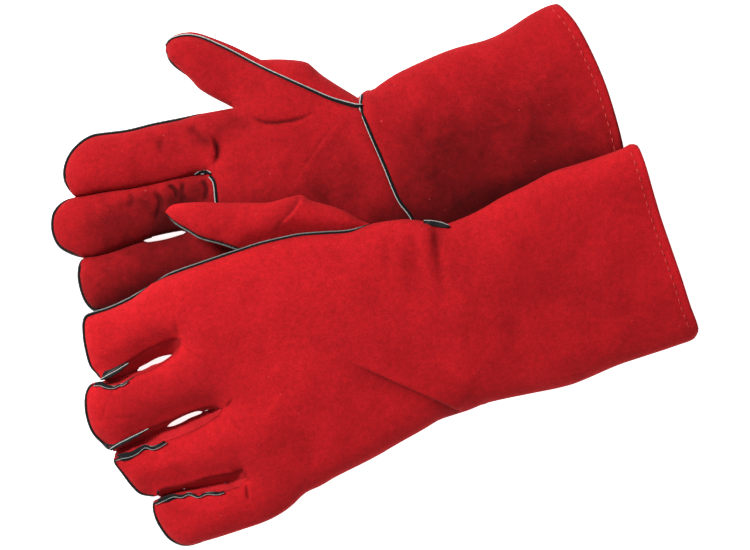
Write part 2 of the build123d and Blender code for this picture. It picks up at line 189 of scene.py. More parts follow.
LEFT_WELTS = dict(
    side=[(-130.2, -1.7)] + LEFT["hand_up"][5:16],
    index=[(-130.2, -1.7)] + LEFT["hand_up"][3:0:-1] + LEFT["index_tip"][::-1] + [(-155, -53.4),
        (-145.1, -47.6)],
    middle=[(-140.8, -56), (-145.6, -58.7), (-147.9, -60.1), (-150.3, -60.7), (-152.6, -61.6),
        (-157.4, -61.2), (-161.5, -59.4)] + LEFT["middle_tip"][::-1] + [(-145.1, -92.9), (-134.1, -87.3)],
    ring=[(-124.3, -94.4), (-128.4, -96.7), (-132, -97.6), (-134.9, -96.8), (-137.6, -97.3), (-140.2, -100),
        (-143.2, -102), (-149.1, -103.5)] + LEFT["ring_tip"][::-1] + [(-127.9, -125)],
    little=[(-90.7, -125.3), (-95.4, -125), (-99.5, -125.3), (-104.8, -127.3), (-110.2, -125.3),
        (-114.3, -127.4), (-118.4, -126.5), (-123.7, -128.3)] + LEFT["cuff_low"][:-9:-1])
# folds: line, depth, width, lip, lap, run of the lap, share of the line over which each end fades
RIGHT_FOLDS = dict(
    thumb_base=([(-77.7, 99.8), (-70.6, 95.9), (-63, 93.6), (-52.9, 94.1), (-44.1, 95.9), (-31.1, 102.1)],
        1.9, 1.2, -0.8, 0, 12, 0.4),
    index_hook=([(-97.8, 86.2), (-94.2, 82.6), (-92.5, 77.3), (-93.3, 72), (-96.6, 67.3)],
        3, 1.6, -0.9, 0, 8, 0.4),
    index_soft1=([(-124.9, 88), (-126.7, 79.7), (-123.1, 71.4)], 0.9, 2.4, 0.7, 0, 12, 0.35),
    index_soft2=([(-111.3, 93.9), (-105.4, 87.4), (-96, 78.5)], 1.1, 3, 0.8, 0, 12, 0.3),
    palm_patch=([(-86.6, 99.8), (-77.1, 92.7), (-70, 86.8)], 1.6, 5, 0.6, 0, 12, 0.4),
    middle_a=([(-131.4, 54.9), (-126.7, 46.1), (-130.2, 34.9)], 2.2, 2.2, 1.3, 0, 9, 0.25),
    middle_b=([(-145.6, 53.7), (-143.8, 47.8), (-146.7, 41.9)], 1, 2.2, 0.6, 0, 9, 0.3),
    middle_c=([(-123.7, 57.9), (-117.8, 53.7), (-116.6, 48.4)], 1.8, 1.6, 1.1, 0, 9, 0.25),
    middle_d=([(-113.1, 60.2), (-114.3, 52.6), (-111.3, 44.3)], 1.5, 1.8, 0.8, 0, 9, 0.25),
    middle_e=([(-103.1, 61.4), (-99.5, 54.9), (-100.7, 46.7)], 1.3, 1.6, 0.7, 0, 9, 0.25),
    palm_1=([(-17.5, 99.8), (-35.2, 77.3), (-51.2, 52.6)], 0.35, 1.2, 0.3, 0, 9, 0.45),
    palm_2=([(-26.4, 100.9), (-55.9, 83.2), (-90.1, 69.7)], 0.5, 6, 0.4, 0, 9, 0.4),
    palm_3=([(-13.4, 95), (-26.4, 71.4), (-33.5, 50.2)], 0.5, 6, 0.3, 0, 9, 0.4))
LEFT_FOLDS = dict(
    back_lap=([(-21.7, -44.8), (-5.7, -51.9), (14.9, -61.3), (32.6, -69), (51.5, -77.8)],
        1.2, 0.8, 0, 2.2, 16, (0.35, 0.03)),
    wrist_a=([(42.1, -11.2), (38.6, 3.6), (36.6, 18.3), (34.6, 33.7)], 1.7, 3, 1.3, 0, 9, (0.75, 0.04)),
    wrist_b=([(7.8, 31.3), (7.3, 15.4), (10.8, -2.3), (17.3, -14.1)], 0.8, 3.6, 1, 0, 9, (0.4, 0.6)),
    wrist_c=([(20.8, 34.9), (23.2, 18.3), (26.7, 0.6)], 0.3, 2.2, 0.2, 0, 9, 0.45),
    wrist_d=([(51.5, -21.8), (55, -33), (56.2, -44.8)], 0.3, 2.2, 0.2, 0, 9, 0.45),
    crotch1=([(-114.3, -34.8), (-115.5, -25.9), (-117.2, -18.2)], 0.5, 1.2, 0.4, 0, 9, 0.4),
    crotch1b=([(-112.5, -37.7), (-106, -41.8), (-100.7, -47.7)], 0.5, 1.2, 0.3, 0, 9, 0.4),
    crotch2=([(-89.5, -74.9), (-85.4, -72.5), (-83, -67.8)], 0.9, 1, 0.5, 0, 9, 0.4),
    crotch2b=([(-88.3, -77.2), (-80.7, -84.9), (-75.9, -91.4)], 0.6, 1.2, 0.3, 0, 9, 0.4),
    crotch3=([(-76.2, -119.7), (-75.6, -125), (-74.2, -131.5)], 1.7, 0.9, 0.6, 0, 9, 0.3),
    slot3_pucker=([(-94.8, -117.7), (-87.7, -115.9), (-80.7, -117.1)], 1.9, 1.1, 0.9, 0, 9, 0.3),
    tip1=([(-155, -64.3), (-158.5, -74.9), (-162.1, -87.9)], 0.35, 1.3, 0.2, 0, 9, 0.4),
    tip2=([(-156.2, -79.6), (-145.6, -80.2), (-136.1, -78.4)], 0.35, 1.3, 0.2, 0, 9, 0.4),
    ring_soft=([(-123.7, -105.6), (-111.9, -114.4), (-103.1, -117.4)], 0.8, 3.5, 0.3, 0, 9, 0.4),
    little_soft=([(-126.7, -135.1), (-114.9, -138), (-100.1, -136.2)], 0.7, 3.5, 0.3, 0, 9, 0.4),
    hand_soft=([(-53.5, -46.6), (-50, -58.4), (-53.5, -71.3)], 0.8, 7, 0.4, 0, 9, 0.4),
    low_soft=([(-44.1, -82), (-38.2, -96.7), (-44.1, -111.5)], 0.8, 7, 0.4, 0, 9, 0.4),
    cuff_soft1=([(109.3, -46.6), (121.1, -52.5), (127, -57.2)], 0.8, 5, 0.4, 0, 9, 0.4),
    cuff_soft2=([(76.9, -17.1), (82.8, -28.9), (81, -40.7)], 0.7, 7, 0.4, 0, 9, 0.4))
THUMB_FOLDS = dict(
    thumb_fold=([(-42.9, 49.6), (-46.4, 43.1), (-52.9, 35.4), (-60.6, 25.4)],
        1, 0.9, 0, 2.4, 12, (0.08, 0.35)),
    thumb_soft=([(-96, 34.9), (-92.5, 29), (-85.4, 24.2)], 0.5, 2.2, 0.2, 0, 9, 0.4))


# ------------------------------------------------------------------ plane curves
def spline(points, step):
    """Smooth curve through the points, evenly spaced."""
    p = np.array(points, float)
    dense = p
    if len(p) > 2:
        q = np.vstack([2 * p[0] - p[1], p, 2 * p[-1] - p[-2]])
        dense = [p[0]]
        for i in range(1, len(q) - 2):
            a, b, c, d = q[i - 1:i + 3]
            k1, k2, k3 = (max(np.linalg.norm(v), 1e-6) ** 0.5 for v in (b - a, c - b, d - c))
            m1 = ((c - b) / k2 - (c - a) / (k1 + k2) + (b - a) / k1) * k2
            m2 = ((d - c) / k3 - (d - b) / (k2 + k3) + (c - b) / k2) * k2
            for t in np.linspace(0, 1, 9)[1:]:
                dense.append((2 * t ** 3 - 3 * t ** 2 + 1) * b + (t ** 3 - 2 * t ** 2 + t) * m1
                             + (3 * t ** 2 - 2 * t ** 3) * c + (t ** 3 - t ** 2) * m2)
        dense = np.array(dense)
    run = np.concatenate([[0], np.cumsum(np.linalg.norm(np.diff(dense, axis=0), axis=1))])
    count = max(int(round(run[-1] / step)), 1)
    s = np.linspace(0, run[-1], count + 1)
    return np.stack([np.interp(s, run, dense[:, k]) for k in range(dense.shape[1])], 1)


def near_line(points, line):
    """Distance of each point from a polyline, the side it lies on, and the share of its length there."""
    start, way = line[:-1], np.diff(line, axis=0)
    length = np.maximum((way ** 2).sum(1), 1e-12)
    run = np.concatenate([[0], np.cumsum(np.sqrt(length))])
    best = np.full(len(points), 1e9)
    side, share = np.zeros(len(points)), np.zeros(len(points))
    for k, d in enumerate(way):
        rel = points - start[k]
        t = np.clip(rel @ d / length[k], 0, 1)
        dist = np.linalg.norm(rel - t[:, None] * d, axis=1)
        m = dist < best
        best[m] = dist[m]
        side[m] = np.sign(d[0] * rel[:, 1] - d[1] * rel[:, 0])[m]
        share[m] = (run[k] + t[m] * math.sqrt(length[k])) / run[-1]
    return best, side, share


def gap_to(points, paths):
    """Distance of each point from the nearest of several curves."""
    return np.min([near_line(points, spline(path, 2.0))[0] for path in paths], axis=0)


def spread(points, others):
    """Squared distance of every point from every other one."""
    return ((points[:, None] - others[None]) ** 2).sum(2)


def compact(t, count):
    """Vertices that the triangles use, out of count, and the triangles and map that number them anew."""
    used = np.unique(t)
    remap = np.full(count, -1)
    remap[used] = np.arange(len(used))
    return used, remap[t], remap


def signed_area(v, t):
    a, b, c = (v[t[:, k]] for k in range(3))
    return ((b - a)[:, 0] * (c - a)[:, 1] - (b - a)[:, 1] * (c - a)[:, 0]) / 2


def inside(points, ring):
    x, y = points[:, 0], points[:, 1]
    hit = np.zeros(len(points), bool)
    for (x0, y0), (x1, y1) in zip(ring, np.roll(ring, -1, 0)):
        if y0 != y1:
            hit ^= ((y0 > y) != (y1 > y)) & (x < (x1 - x0) * (y - y0) / (y1 - y0) + x0)
    return hit


def across(curve):
    """Unit vectors at right angles to a plane curve, to its left."""
    tangent = np.gradient(curve, axis=0)
    left_of = np.stack([-tangent[:, 1], tangent[:, 0]], 1)
    return left_of / np.maximum(np.linalg.norm(left_of, axis=1), 1e-9)[:, None]


def smooth_along(values, rounds=3):
    v = np.array(values, float)
    for _ in range(rounds):
        v[1:-1] = (v[:-2] + 2 * v[1:-1] + v[2:]) / 4
    return v


# ------------------------------------------------------------------ a flat pattern and its mesh
class Pattern:
    """Outline of a panel, meshed with cut lines, on which heights are worked out.

    segments: (points, rise) round the outline; rise is the height of the seam edge above the seam line,
    or None at the open mouth. lines: name to points, cut into the mesh.
    welts: outline spans drawn in by the width of the welt. creases: lines meshed finely.
    welted: spans whose seam is held open by a welt; elsewhere such a seam is closed."""

    def __init__(self, segments, lines, welts=(), creases=(), welted=()):
        self.read_outline(segments)
        if welted:
            held_open = np.clip((4.0 - gap_to(self.ring, welted)) / 2.0, 0, 1)
            closed = np.sign(self.rises) * (PLAIN + (WELT_RISE - PLAIN) * held_open)
            self.rises = np.where(np.abs(self.rises) == WELT_RISE, closed, self.rises)
        self.out = self.outward()
        self.trace, self.trace_lift = self.ring.copy(), self.rises.copy()
        self.draw_in(welts)
        self.mesh(lines, creases)
        self.measure()

    def read_outline(self, segments):
        ring, rises = [], []
        for points, rise in segments:
            curve = list(spline(points, STEP))
            if ring and np.linalg.norm(ring[-1] - curve[0]) < SAME:
                curve = curve[1:]
            ring += curve
            rises += [rise] * len(curve)
        if np.linalg.norm(ring[-1] - ring[0]) < SAME:
            ring, rises = ring[:-1], rises[:-1]
        count = len(rises)
        corners = [(k, j % count) for k in range(count) for j in (k - 1, k + 1)
                   if rises[k] is None and rises[j % count] is not None]
        for k, j in corners:
            rises[k] = rises[j]
        self.ring = np.array(ring)
        self.open = np.array([rise is None for rise in rises])
        self.rises = np.array([0.0 if rise is None else rise for rise in rises])

    def outward(self):
        tangent = np.roll(self.ring, -1, 0) - np.roll(self.ring, 1, 0)
        normal = np.stack([-tangent[:, 1], tangent[:, 0]], 1)
        normal /= np.maximum(np.linalg.norm(normal, axis=1), 1e-9)[:, None]
        flip = 1 if inside(self.ring + normal * 0.05, self.ring).mean() > 0.5 else -1
        return -normal * flip

    def draw_in(self, welts):
        """Makes room for the welts, and leaves a hair's breadth between the two sides of a closed slot."""
        draw = np.zeros(len(self.ring))
        for path in welts:
            curve = spline(path, 2.0)
            gap, _, share = near_line(self.ring, curve)
            ends = np.clip(np.minimum(share, 1 - share) * 2.0 * len(curve) / 14.0, 0, 1)
            draw = np.maximum(draw, np.clip(2.2 - gap, 0, 1) * ends)
        self.room = self.slot_room()
        self.draw = draw * WELT_SHOWN * np.clip((self.room - 2.5) / 3.0, 0, 1)
        self.draw -= np.where(self.room < CLOSED_SLOT, self.room / 2 - 0.12, 0)
        self.ring = self.ring - self.out * self.draw[:, None]

    def slot_room(self):
        """Distance of each outline point from the outline facing it across a slot."""
        gap = np.linalg.norm(self.ring[:, None] - self.ring[None], axis=2)
        steps = np.abs(np.arange(len(self.ring))[:, None] - np.arange(len(self.ring))[None])
        steps = np.minimum(steps, len(self.ring) - steps)
        facing = (self.out[:, None] * self.out[None]).sum(2) < -0.2
        gap[(steps < 3) | ~facing] = 99.0
        return gap.min(1)

    def cut_lines(self, lines):
        """Outline and line points, edges of the lines, each line's span of edges, and its points."""
        fixed = [tuple(p) for p in self.ring]
        edges, spans, drawn = [], {}, []
        for name, points in lines.items():
            curve = spline(points, STEP)
            ids = []
            for k, p in enumerate(curve):
                gap = np.linalg.norm(np.array(fixed) - p, axis=1)
                if k in (0, len(curve) - 1) and gap.min() < SNAP:
                    ids.append(int(gap.argmin()))
                else:
                    ids.append(len(fixed))
                    fixed.append(tuple(p))
            first = len(edges)
            edges += [(a, b) for a, b in zip(ids, ids[1:]) if a != b]
            spans[name] = (first, len(edges))
            drawn.append(np.array([fixed[i] for i in ids]))
        return fixed, edges, spans, drawn

    def clouds(self, creases):
        """Inner points: rows along the outline, rows along the creases, then an even grid, each with
        its distance from the outline."""
        out = [(self.ring - self.out * d, d * 0.8) for d in (0.6, 1.5, 2.9)]
        fine = []
        for curve in (spline(line, 1.3) for line in creases):
            fine += [curve + across(curve) * d for d in (-2.3, -1.2, -0.5, 0, 0.5, 1.2, 2.3)]
        if fine:
            out.append((np.vstack(fine), 1.0))
        low, high = self.ring.min(0), self.ring.max(0)
        rows = []
        for j, y in enumerate(np.arange(low[1], high[1], GRID * 0.866)):
            x = np.arange(low[0] + (j % 2) * GRID / 2, high[0], GRID)
            rows.append(np.stack([x, np.full_like(x, y)], 1))
        grid = np.vstack(rows)
        for line in creases:
            grid = grid[near_line(grid, spline(line, 3.0))[0] > 3.0]
        return out + [(grid, 3.6)]

    def mesh(self, lines, creases):
        fixed, edges, spans, drawn = self.cut_lines(lines)
        count = len(self.ring)
        loop = np.vstack([self.ring, self.ring[:1]])
        points = list(fixed)
        for cloud, clear in self.clouds(creases):
            cloud = cloud[inside(cloud, self.ring)]
            cloud = cloud[near_line(cloud, loop)[0] > clear]
            for line in drawn:
                cloud = cloud[near_line(cloud, line)[0] > 1.1]
            points += [tuple(p) for p in cloud]
        outline = [(i, (i + 1) % count) for i in range(count)]
        v, e, f, _, source, _ = delaunay_2d_cdt([Vector(p) for p in points], outline + edges,
                                                [list(range(count))], 1, 1e-4, True)
        v, t = np.array([tuple(p) for p in v]), np.array([t for t in f if len(t) == 3])
        area = signed_area(v, t)
        t[area < 0] = t[area < 0][:, ::-1]
        t = t[(np.abs(area) > 1e-4) & inside(v[t].mean(1), self.ring)]
        used, self.t, remap = compact(t, len(v))
        self.v = v[used]
        self.walls = {name: [] for name in lines}
        for pair, ids in zip(e, source):
            for name, (first, last) in spans.items():
                if any(first <= i - count < last for i in ids):
                    self.walls[name].append((int(remap[pair[0]]), int(remap[pair[1]])))

    def measure(self):
        """Areas and edge weights of the mesh, and what lies on its rim."""
        v, t = self.v, self.t
        self.mass = np.bincount(t.ravel(), np.repeat(np.abs(signed_area(v, t)) / 3, 3), len(v))
        ii, jj, ww = [], [], []
        for k in range(3):
            i, j, o = t[:, k], t[:, (k + 1) % 3], t[:, (k + 2) % 3]
            p, q = v[i] - v[o], v[j] - v[o]
            cot = (p * q).sum(1) / np.maximum(np.abs(p[:, 0] * q[:, 1] - p[:, 1] * q[:, 0]), 1e-9) / 2
            cot = np.clip(cot, 0.01, 20)
            ii += [i, j]
            jj += [j, i]
            ww += [cot, cot]
        self.i, self.j, self.w = np.concatenate(ii), np.concatenate(jj), np.concatenate(ww)
        sides = np.sort(np.concatenate([t[:, [0, 1]], t[:, [1, 2]], t[:, [2, 0]]]), axis=1)
        pairs, counts = np.unique(sides, axis=0, return_counts=True)
        rim = np.unique(pairs[counts == 1])
        owner = spread(v[rim], self.ring).argmin(1)
        owner, rim = owner[~self.open[owner]], rim[~self.open[owner]]
        self.seams, self.seam_rise = rim, self.rises[owner]

    def solve(self, reach, source, values):
        """Smooth field: source spreads over reach, held at values along the seams."""
        n = len(self.v)
        free = np.ones(n, bool)
        free[self.seams] = False
        diag = np.bincount(self.i, self.w, n) + self.mass / reach ** 2
        x = np.zeros(n)
        x[self.seams] = values

        def apply(y):
            return diag * y - np.bincount(self.i, self.w * y[self.j], n)

        r = (self.mass * source - apply(x)) * free
        z = r / diag
        p = z.copy()
        rz = (r * z).sum()
        for _ in range(600):
            ap = apply(p) * free
            alpha = rz / max((p * ap).sum(), 1e-30)
            x += alpha * p
            r -= alpha * ap
            z = r / diag
            new = (r * z).sum()
            if new < 1e-8:
                break
            p = (z + (new / rz) * p) * free
            rz = new
        return x

    def pillow(self, height, reach):
        """Padding that rises from the seams to the height over about the reach."""
        return height * np.sqrt(np.clip(self.solve(reach, 1.0, 0.0), 0, None)) / reach

    def rise(self, seat=1.0):
        """Height of the seam edges above the seam line; seat scales it where there is no side strip."""
        value = np.where(np.abs(self.seam_rise) <= WELT_RISE, self.seam_rise * seat, self.seam_rise)
        return self.solve(7.0, 0.0, value)

    def parts(self, seeds, barriers):
        """Triangles by the seed whose side of the barrier lines they lie on."""
        t = self.t
        mid = self.v[t].mean(1)
        wall = set((min(e), max(e)) for name in barriers for e in self.walls[name])
        owner, near = {}, [[] for _ in t]
        for k, tri in enumerate(t):
            for e in ((tri[0], tri[1]), (tri[1], tri[2]), (tri[2], tri[0])):
                e = (min(e), max(e))
                if e not in owner:
                    owner[e] = k
                elif e not in wall:
                    near[k].append(owner[e])
                    near[owner[e]].append(k)
        label = np.full(len(t), -1)
        for s, seed in enumerate(seeds.values()):
            stack = [int(((mid - np.array(seed)) ** 2).sum(1).argmin())]
            while stack:
                k = stack.pop()
                if label[k] < 0:
                    label[k] = s
                    stack += [m for m in near[k] if label[m] < 0]
        for k in np.where(label < 0)[0]:
            others = np.where(label >= 0)[0]
            label[k] = label[others[((mid[others] - mid[k]) ** 2).sum(1).argmin()]]
        return {name: np.where(label == s)[0] for s, name in enumerate(seeds)}


def crease_frame(points, line, ends):
    """Signed distance from a fold line, and its fading towards the two ends."""
    d, side, share = near_line(points, spline(line, 2.0))
    first, last = ends if isinstance(ends, tuple) else (ends, ends)
    return d * side, ease(np.minimum(share / first, (1 - share) / last))


def painted_crease_shade(points, line, depth, width, lip, lap, run, ends):
    """Painted shade of a fold, 0 to 1: in its groove, and on the side tucked under a lap."""
    s, fade = crease_frame(points, line, ends)
    dark = np.clip(depth / 1.7, 0, 1) * min(1.0, 1.7 / width) * np.exp(-(s / (0.8 * width)) ** 2)
    if lap:
        dark = np.maximum(dark, np.where(s < 0.3, np.exp(-np.abs((s - 0.3) / 5.5)), 0) * min(lap, 1))
    return dark * fade


def crease(points, line, depth, width, lip, lap, run, ends):
    """Height change of a fold: a groove, a lip beside it, and a lap where one side lies over the other."""
    s, fade = crease_frame(points, line, ends)
    z = -depth * np.exp(-(s / width) ** 2)
    z += lip * np.exp(-((s - 1.7 * width) / (1.5 * width)) ** 2)
    if lap:
        step = 1 / (1 + np.exp(-np.clip(s / 0.45, -30, 30)))
        z += lap * step * np.exp(-np.clip(s, 0, None) / run)
    return z * fade


def wobble(points, size, amount, seed):
    """Gentle uneven surface."""
    return amount * np.array([noise.noise(Vector((x / size, y / size, seed))) for x, y in points])


class Surface:
    """Height look-up over a pattern."""

    def __init__(self, pat, z):
        self.flat, self.z = pat.v, z
        self.tree = BVHTree.FromPolygons([(x, y, h) for (x, y), h in zip(pat.v.tolist(), z)],
                                         pat.t.tolist())

    def at(self, points, missing=None):
        """Heights; beyond the edge the missing value, or else the height of the nearest point."""
        out = np.full(len(points), np.nan)
        for k, (x, y) in enumerate(points):
            hit = self.tree.ray_cast(Vector((x, y, 500)), Vector((0, 0, -1)))
            if hit[0] is not None:
                out[k] = hit[0].z
        lost = np.isnan(out)
        if missing is not None:
            out[lost] = missing
        elif lost.any():
            out[lost] = self.z[spread(np.asarray(points)[lost], self.flat).argmin(1)]
        return out


# ------------------------------------------------------------------ turning surfaces into objects
def normals_of(p, t):
    n = np.cross(p[t[:, 1]] - p[t[:, 0]], p[t[:, 2]] - p[t[:, 0]])
    out = np.zeros_like(p)
    for k in range(3):
        np.add.at(out, t[:, k], n)
    return out / np.maximum(np.linalg.norm(out, axis=1), 1e-12)[:, None]


def new_object(name, verts, faces, normals=None, shade=None, edge=None):
    mesh = bpy.data.meshes.new(name)
    mesh.from_pydata((np.asarray(verts) * MM).tolist(), [], [list(map(int, f)) for f in faces])
    mesh.polygons.foreach_set("use_smooth", [True] * len(mesh.polygons))
    rest = mesh.attributes.new("rest", "FLOAT_VECTOR", "POINT")
    rest.data.foreach_set("vector", (np.asarray(verts) * MM).astype(np.float32).ravel())
    for label, value in (("shade", shade), ("edge", edge)):
        layer = mesh.attributes.new(label, "FLOAT", "POINT")
        values = np.zeros(len(verts)) if value is None else np.asarray(value, float)
        layer.data.foreach_set("value", values.astype(np.float32))
    obj = bpy.data.objects.new(name, mesh)
    bpy.context.scene.collection.objects.link(obj)
    if normals is not None:
        mesh.normals_split_custom_set([tuple(n) for n in normals])
    return obj


def skin(p, n, t, thick):
    """Closed thin piece under the outer triangles t: vertices, faces, corner normals."""
    used, outer, _ = compact(t, len(p))
    q, m = p[used], n[used]
    thick = np.broadcast_to(thick, (len(p),))[used]
    k = len(used)
    verts = np.vstack([q, q - m * thick[:, None]])
    faces = [tuple(f) for f in outer] + [(f[2] + k, f[1] + k, f[0] + k) for f in outer]
    normals = [tuple(m[i]) for f in outer for i in f]
    normals += [tuple(-m[i]) for f in outer for i in f[::-1]]
    seen = set((int(f[a]), int(f[b])) for f in outer for a, b in ((0, 1), (1, 2), (2, 0)))
    for a, b in sorted(seen):
        if (b, a) in seen:
            continue
        faces.append((b, a, a + k, b + k))
        side = np.cross(q[b] - q[a], m[a])
        size = np.linalg.norm(side)
        side = side / size if size > 1e-9 else m[a]
        normals += [tuple(side)] * 4
    return verts, faces, normals, used


def shifted(faces, base):
    return [tuple(i + base for i in face) for face in faces]


def skins(name, sheets, thick, shade=None):
    """One object from several (points, normals, triangles) sheets."""
    verts, faces, normals, shades = [], [], [], []
    base = 0
    for p, n, t in sheets:
        v, f, m, used = skin(p, n, t, thick)
        verts.append(v)
        faces += shifted(f, base)
        normals += m
        value = np.zeros(len(p)) if shade is None else shade(p[:, :2])
        shades += [value[used], value[used]]
        base += len(v)
    return new_object(name, np.vstack(verts), faces, normals, np.concatenate(shades))


def wall(top, low):
    """Sheet between two seam lines, top and low being 3-D curves."""
    count, rows = max(len(top), len(low)), 5
    u = np.linspace(0, 1, count)
    top, low = (np.stack([np.interp(u, np.linspace(0, 1, len(curve)), curve[:, k]) for k in range(3)], 1)
                for curve in (top, low))
    p = np.vstack([top * (1 - w) + low * w for w in np.linspace(0, 1, rows)])
    t = []
    for r in range(rows - 1):
        for a in range(r * count, r * count + count - 1):
            t += [(a, a + 1, a + count + 1), (a, a + count + 1, a + count)]
    t = np.array(t)
    return p, normals_of(p, t), t


def turned(verts, faces):
    """Faces with outward winding, judged by the enclosed volume."""
    volume = sum(np.dot(verts[f[0]], np.cross(verts[f[i]], verts[f[i + 1]]))
                 for f in faces for i in range(1, len(f) - 1))
    return faces if volume > 0 else [tuple(f[::-1]) for f in faces]


# section of a welt: at its base or rim, offsets across and up, grey along its far or near side
WELT_SECTION = [("base", 0, -1, 0, 1), ("rim", -0.25, -1, 0, 0), ("rim", 0, -0.5, 1, 0),
                ("rim", 0.02, 0.45, 1, 0), ("rim", -0.2, 1, 1, 0), ("rim", -0.38, 1.02, 0, 0),
                ("base", 0.5, 1.02, 0, 0), ("base", 0.3, 1.0, 0, 1), ("base", 0, 0.7, 0, 1)]


def ribbon(path, out, width, height, lean, tuck, grey=1.0, near=False):
    """Swept welt along path: starts tuck inside it and leans up by lean. The grey edge is the far side,
    or the near one."""
    out = out / np.maximum(np.linalg.norm(out, axis=1), 1e-9)[:, None]
    side = np.column_stack([out * math.cos(lean), np.full(len(out), math.sin(lean))])
    up = np.column_stack([-out * math.sin(lean), np.full(len(out), math.cos(lean))])
    width, height, grey = (np.broadcast_to(v, (len(path),)) for v in (width, height, grey))
    ring = len(WELT_SECTION)
    verts, edge, faces = [], [], []
    for k, p in enumerate(path):
        for place, s, u, far_grey, near_grey in WELT_SECTION:
            s += -tuck if place == "base" else width[k]
            verts.append(p + side[k] * s + up[k] * (u * height[k] / 2))
            edge.append((near_grey if near else far_grey) * grey[k])
    for a in range(0, (len(path) - 1) * ring, ring):
        faces += [(a + j, a + (j + 1) % ring, a + (j + 1) % ring + ring, a + j + ring) for j in range(ring)]
    last = (len(path) - 1) * ring
    faces += [tuple(range(ring))[::-1], tuple(range(last, last + ring))]
    verts = np.array(verts)
    return verts, turned(verts - verts.mean(0), faces), edge


def seam_welt(pat, level, path, reach=2.1, lean=0.25, start=12.0, end=12.0):
    """Welt lying in an outline seam; it narrows over start and end, and inside slots."""
    curve = spline(path, WELT_STEP)
    near = spread(curve, pat.trace).argmin(1)
    out = np.stack([smooth_along(pat.out[near][:, k], 4) for k in range(2)], 1)
    z = smooth_along(level(curve) + pat.trace_lift[near])
    run = np.arange(len(curve)) * WELT_STEP
    ends = np.clip(np.minimum(run / start, (run[-1] - run) / end), 0, 1)
    open_side = np.clip((pat.room[near] - 2.0) / 3.0, 0, 1)
    show = smooth_along(0.35 + 0.65 * ends * open_side, 2)
    base = curve - out * (reach * show - 0.15)[:, None]
    return ribbon(np.column_stack([base, z]), out, reach * show, 1.5 * (0.6 + 0.4 * show), lean, 1.2,
                  0.45 * np.clip((show - 0.55) * 3, 0, 1))


def top_welt(surface, path, side, width=1.7, height=1.1, lean=0.35, lift=0.1, grey=1.0, near=False,
             wave=0.0, seed=0.0):
    """Welt standing in a seam that crosses a panel; side is +1 or -1 for its outer edge."""
    curve = spline(path, WELT_STEP)
    if not np.isscalar(width):
        width = np.interp(np.linspace(0, 1, len(curve)), np.linspace(0, 1, len(width)), width)
    if wave:
        places = np.arange(len(curve)) * WELT_STEP / 3.2
        width = width + wave * np.array([noise.noise(Vector((s, seed, 0))) for s in places])
    out = across(curve) * side
    z = smooth_along(surface.at(curve)) + lift
    tuck = 0.0 if near else 0.7
    return ribbon(np.column_stack([curve, z]), out, width, height, lean, tuck, grey, near)


# ------------------------------------------------------------------ materials
def set_inputs(node, values):
    for key, value in values.items():
        node.inputs[key].default_value = value
    return node


def nodes_of(name, rough, specular, **more):
    """New material, its node tree and its main shader."""
    mat = bpy.data.materials.new(name)
    mat.use_nodes = True
    bsdf = mat.node_tree.nodes["Principled BSDF"]
    set_inputs(bsdf, {"Roughness": rough, "Specular IOR Level": specular})
    set_inputs(bsdf, {key.replace("_", " "): value for key, value in more.items()})
    return mat, mat.node_tree, bsdf


def plain(name, colour, rough):
    return nodes_of(name, rough, 0.2, Base_Color=(*colour, 1))[0]


class Net:
    """Small helper that wires shader nodes."""

    def __init__(self, tree):
        self.tree = tree
        rest = self.add("ShaderNodeAttribute", attribute_name="rest")
        self.place = rest.outputs["Vector"]

    def add(self, kind, **values):
        node = self.tree.nodes.new(kind)
        for key, value in values.items():
            setattr(node, key, value)
        return node

    def link(self, a, b):
        self.tree.links.new(a, b)

    def attribute(self, name):
        return self.add("ShaderNodeAttribute", attribute_name=name).outputs["Fac"]

    def noise(self, scale, detail=3.0, rough=0.55, distortion=0.0):
        node = self.add("ShaderNodeTexNoise")
        self.link(self.place, node.inputs["Vector"])
        set_inputs(node, dict(Scale=scale, Detail=detail, Roughness=rough, Distortion=distortion))
        return node.outputs["Fac"]

    def span(self, value, a, b, low, high):
        node = self.add("ShaderNodeMapRange", clamp=True)
        self.link(value, node.inputs["Value"])
        set_inputs(node, {"From Min": a, "From Max": b, "To Min": low, "To Max": high})
        return node.outputs["Result"]

    def feed(self, node, values):
        """Links or sets each input."""
        for key, value in values.items():
            if isinstance(value, (int, float, tuple)):
                node.inputs[key].default_value = value
            else:
                self.link(value, node.inputs[key])
        return node

    def math(self, op, a, b):
        return self.feed(self.add("ShaderNodeMath", operation=op), {0: a, 1: b}).outputs[0]

    def scaled(self, colour, factor):
        """Colour multiplied by a factor."""
        node = self.add("ShaderNodeVectorMath", operation="SCALE")
        return self.feed(node, {0: colour, "Scale": factor}).outputs[0]

    def mix(self, factor, a, b):
        node = self.add("ShaderNodeMix", data_type="RGBA")
        return self.feed(node, {0: factor, 6: a, 7: b}).outputs[2]

    def bump(self, height, strength, distance, under=None):
        node = self.add("ShaderNodeBump")
        self.feed(node, dict(Strength=strength, Distance=distance, Height=height))
        if under is not None:
            self.link(under, node.inputs["Normal"])
        return node.outputs["Normal"]


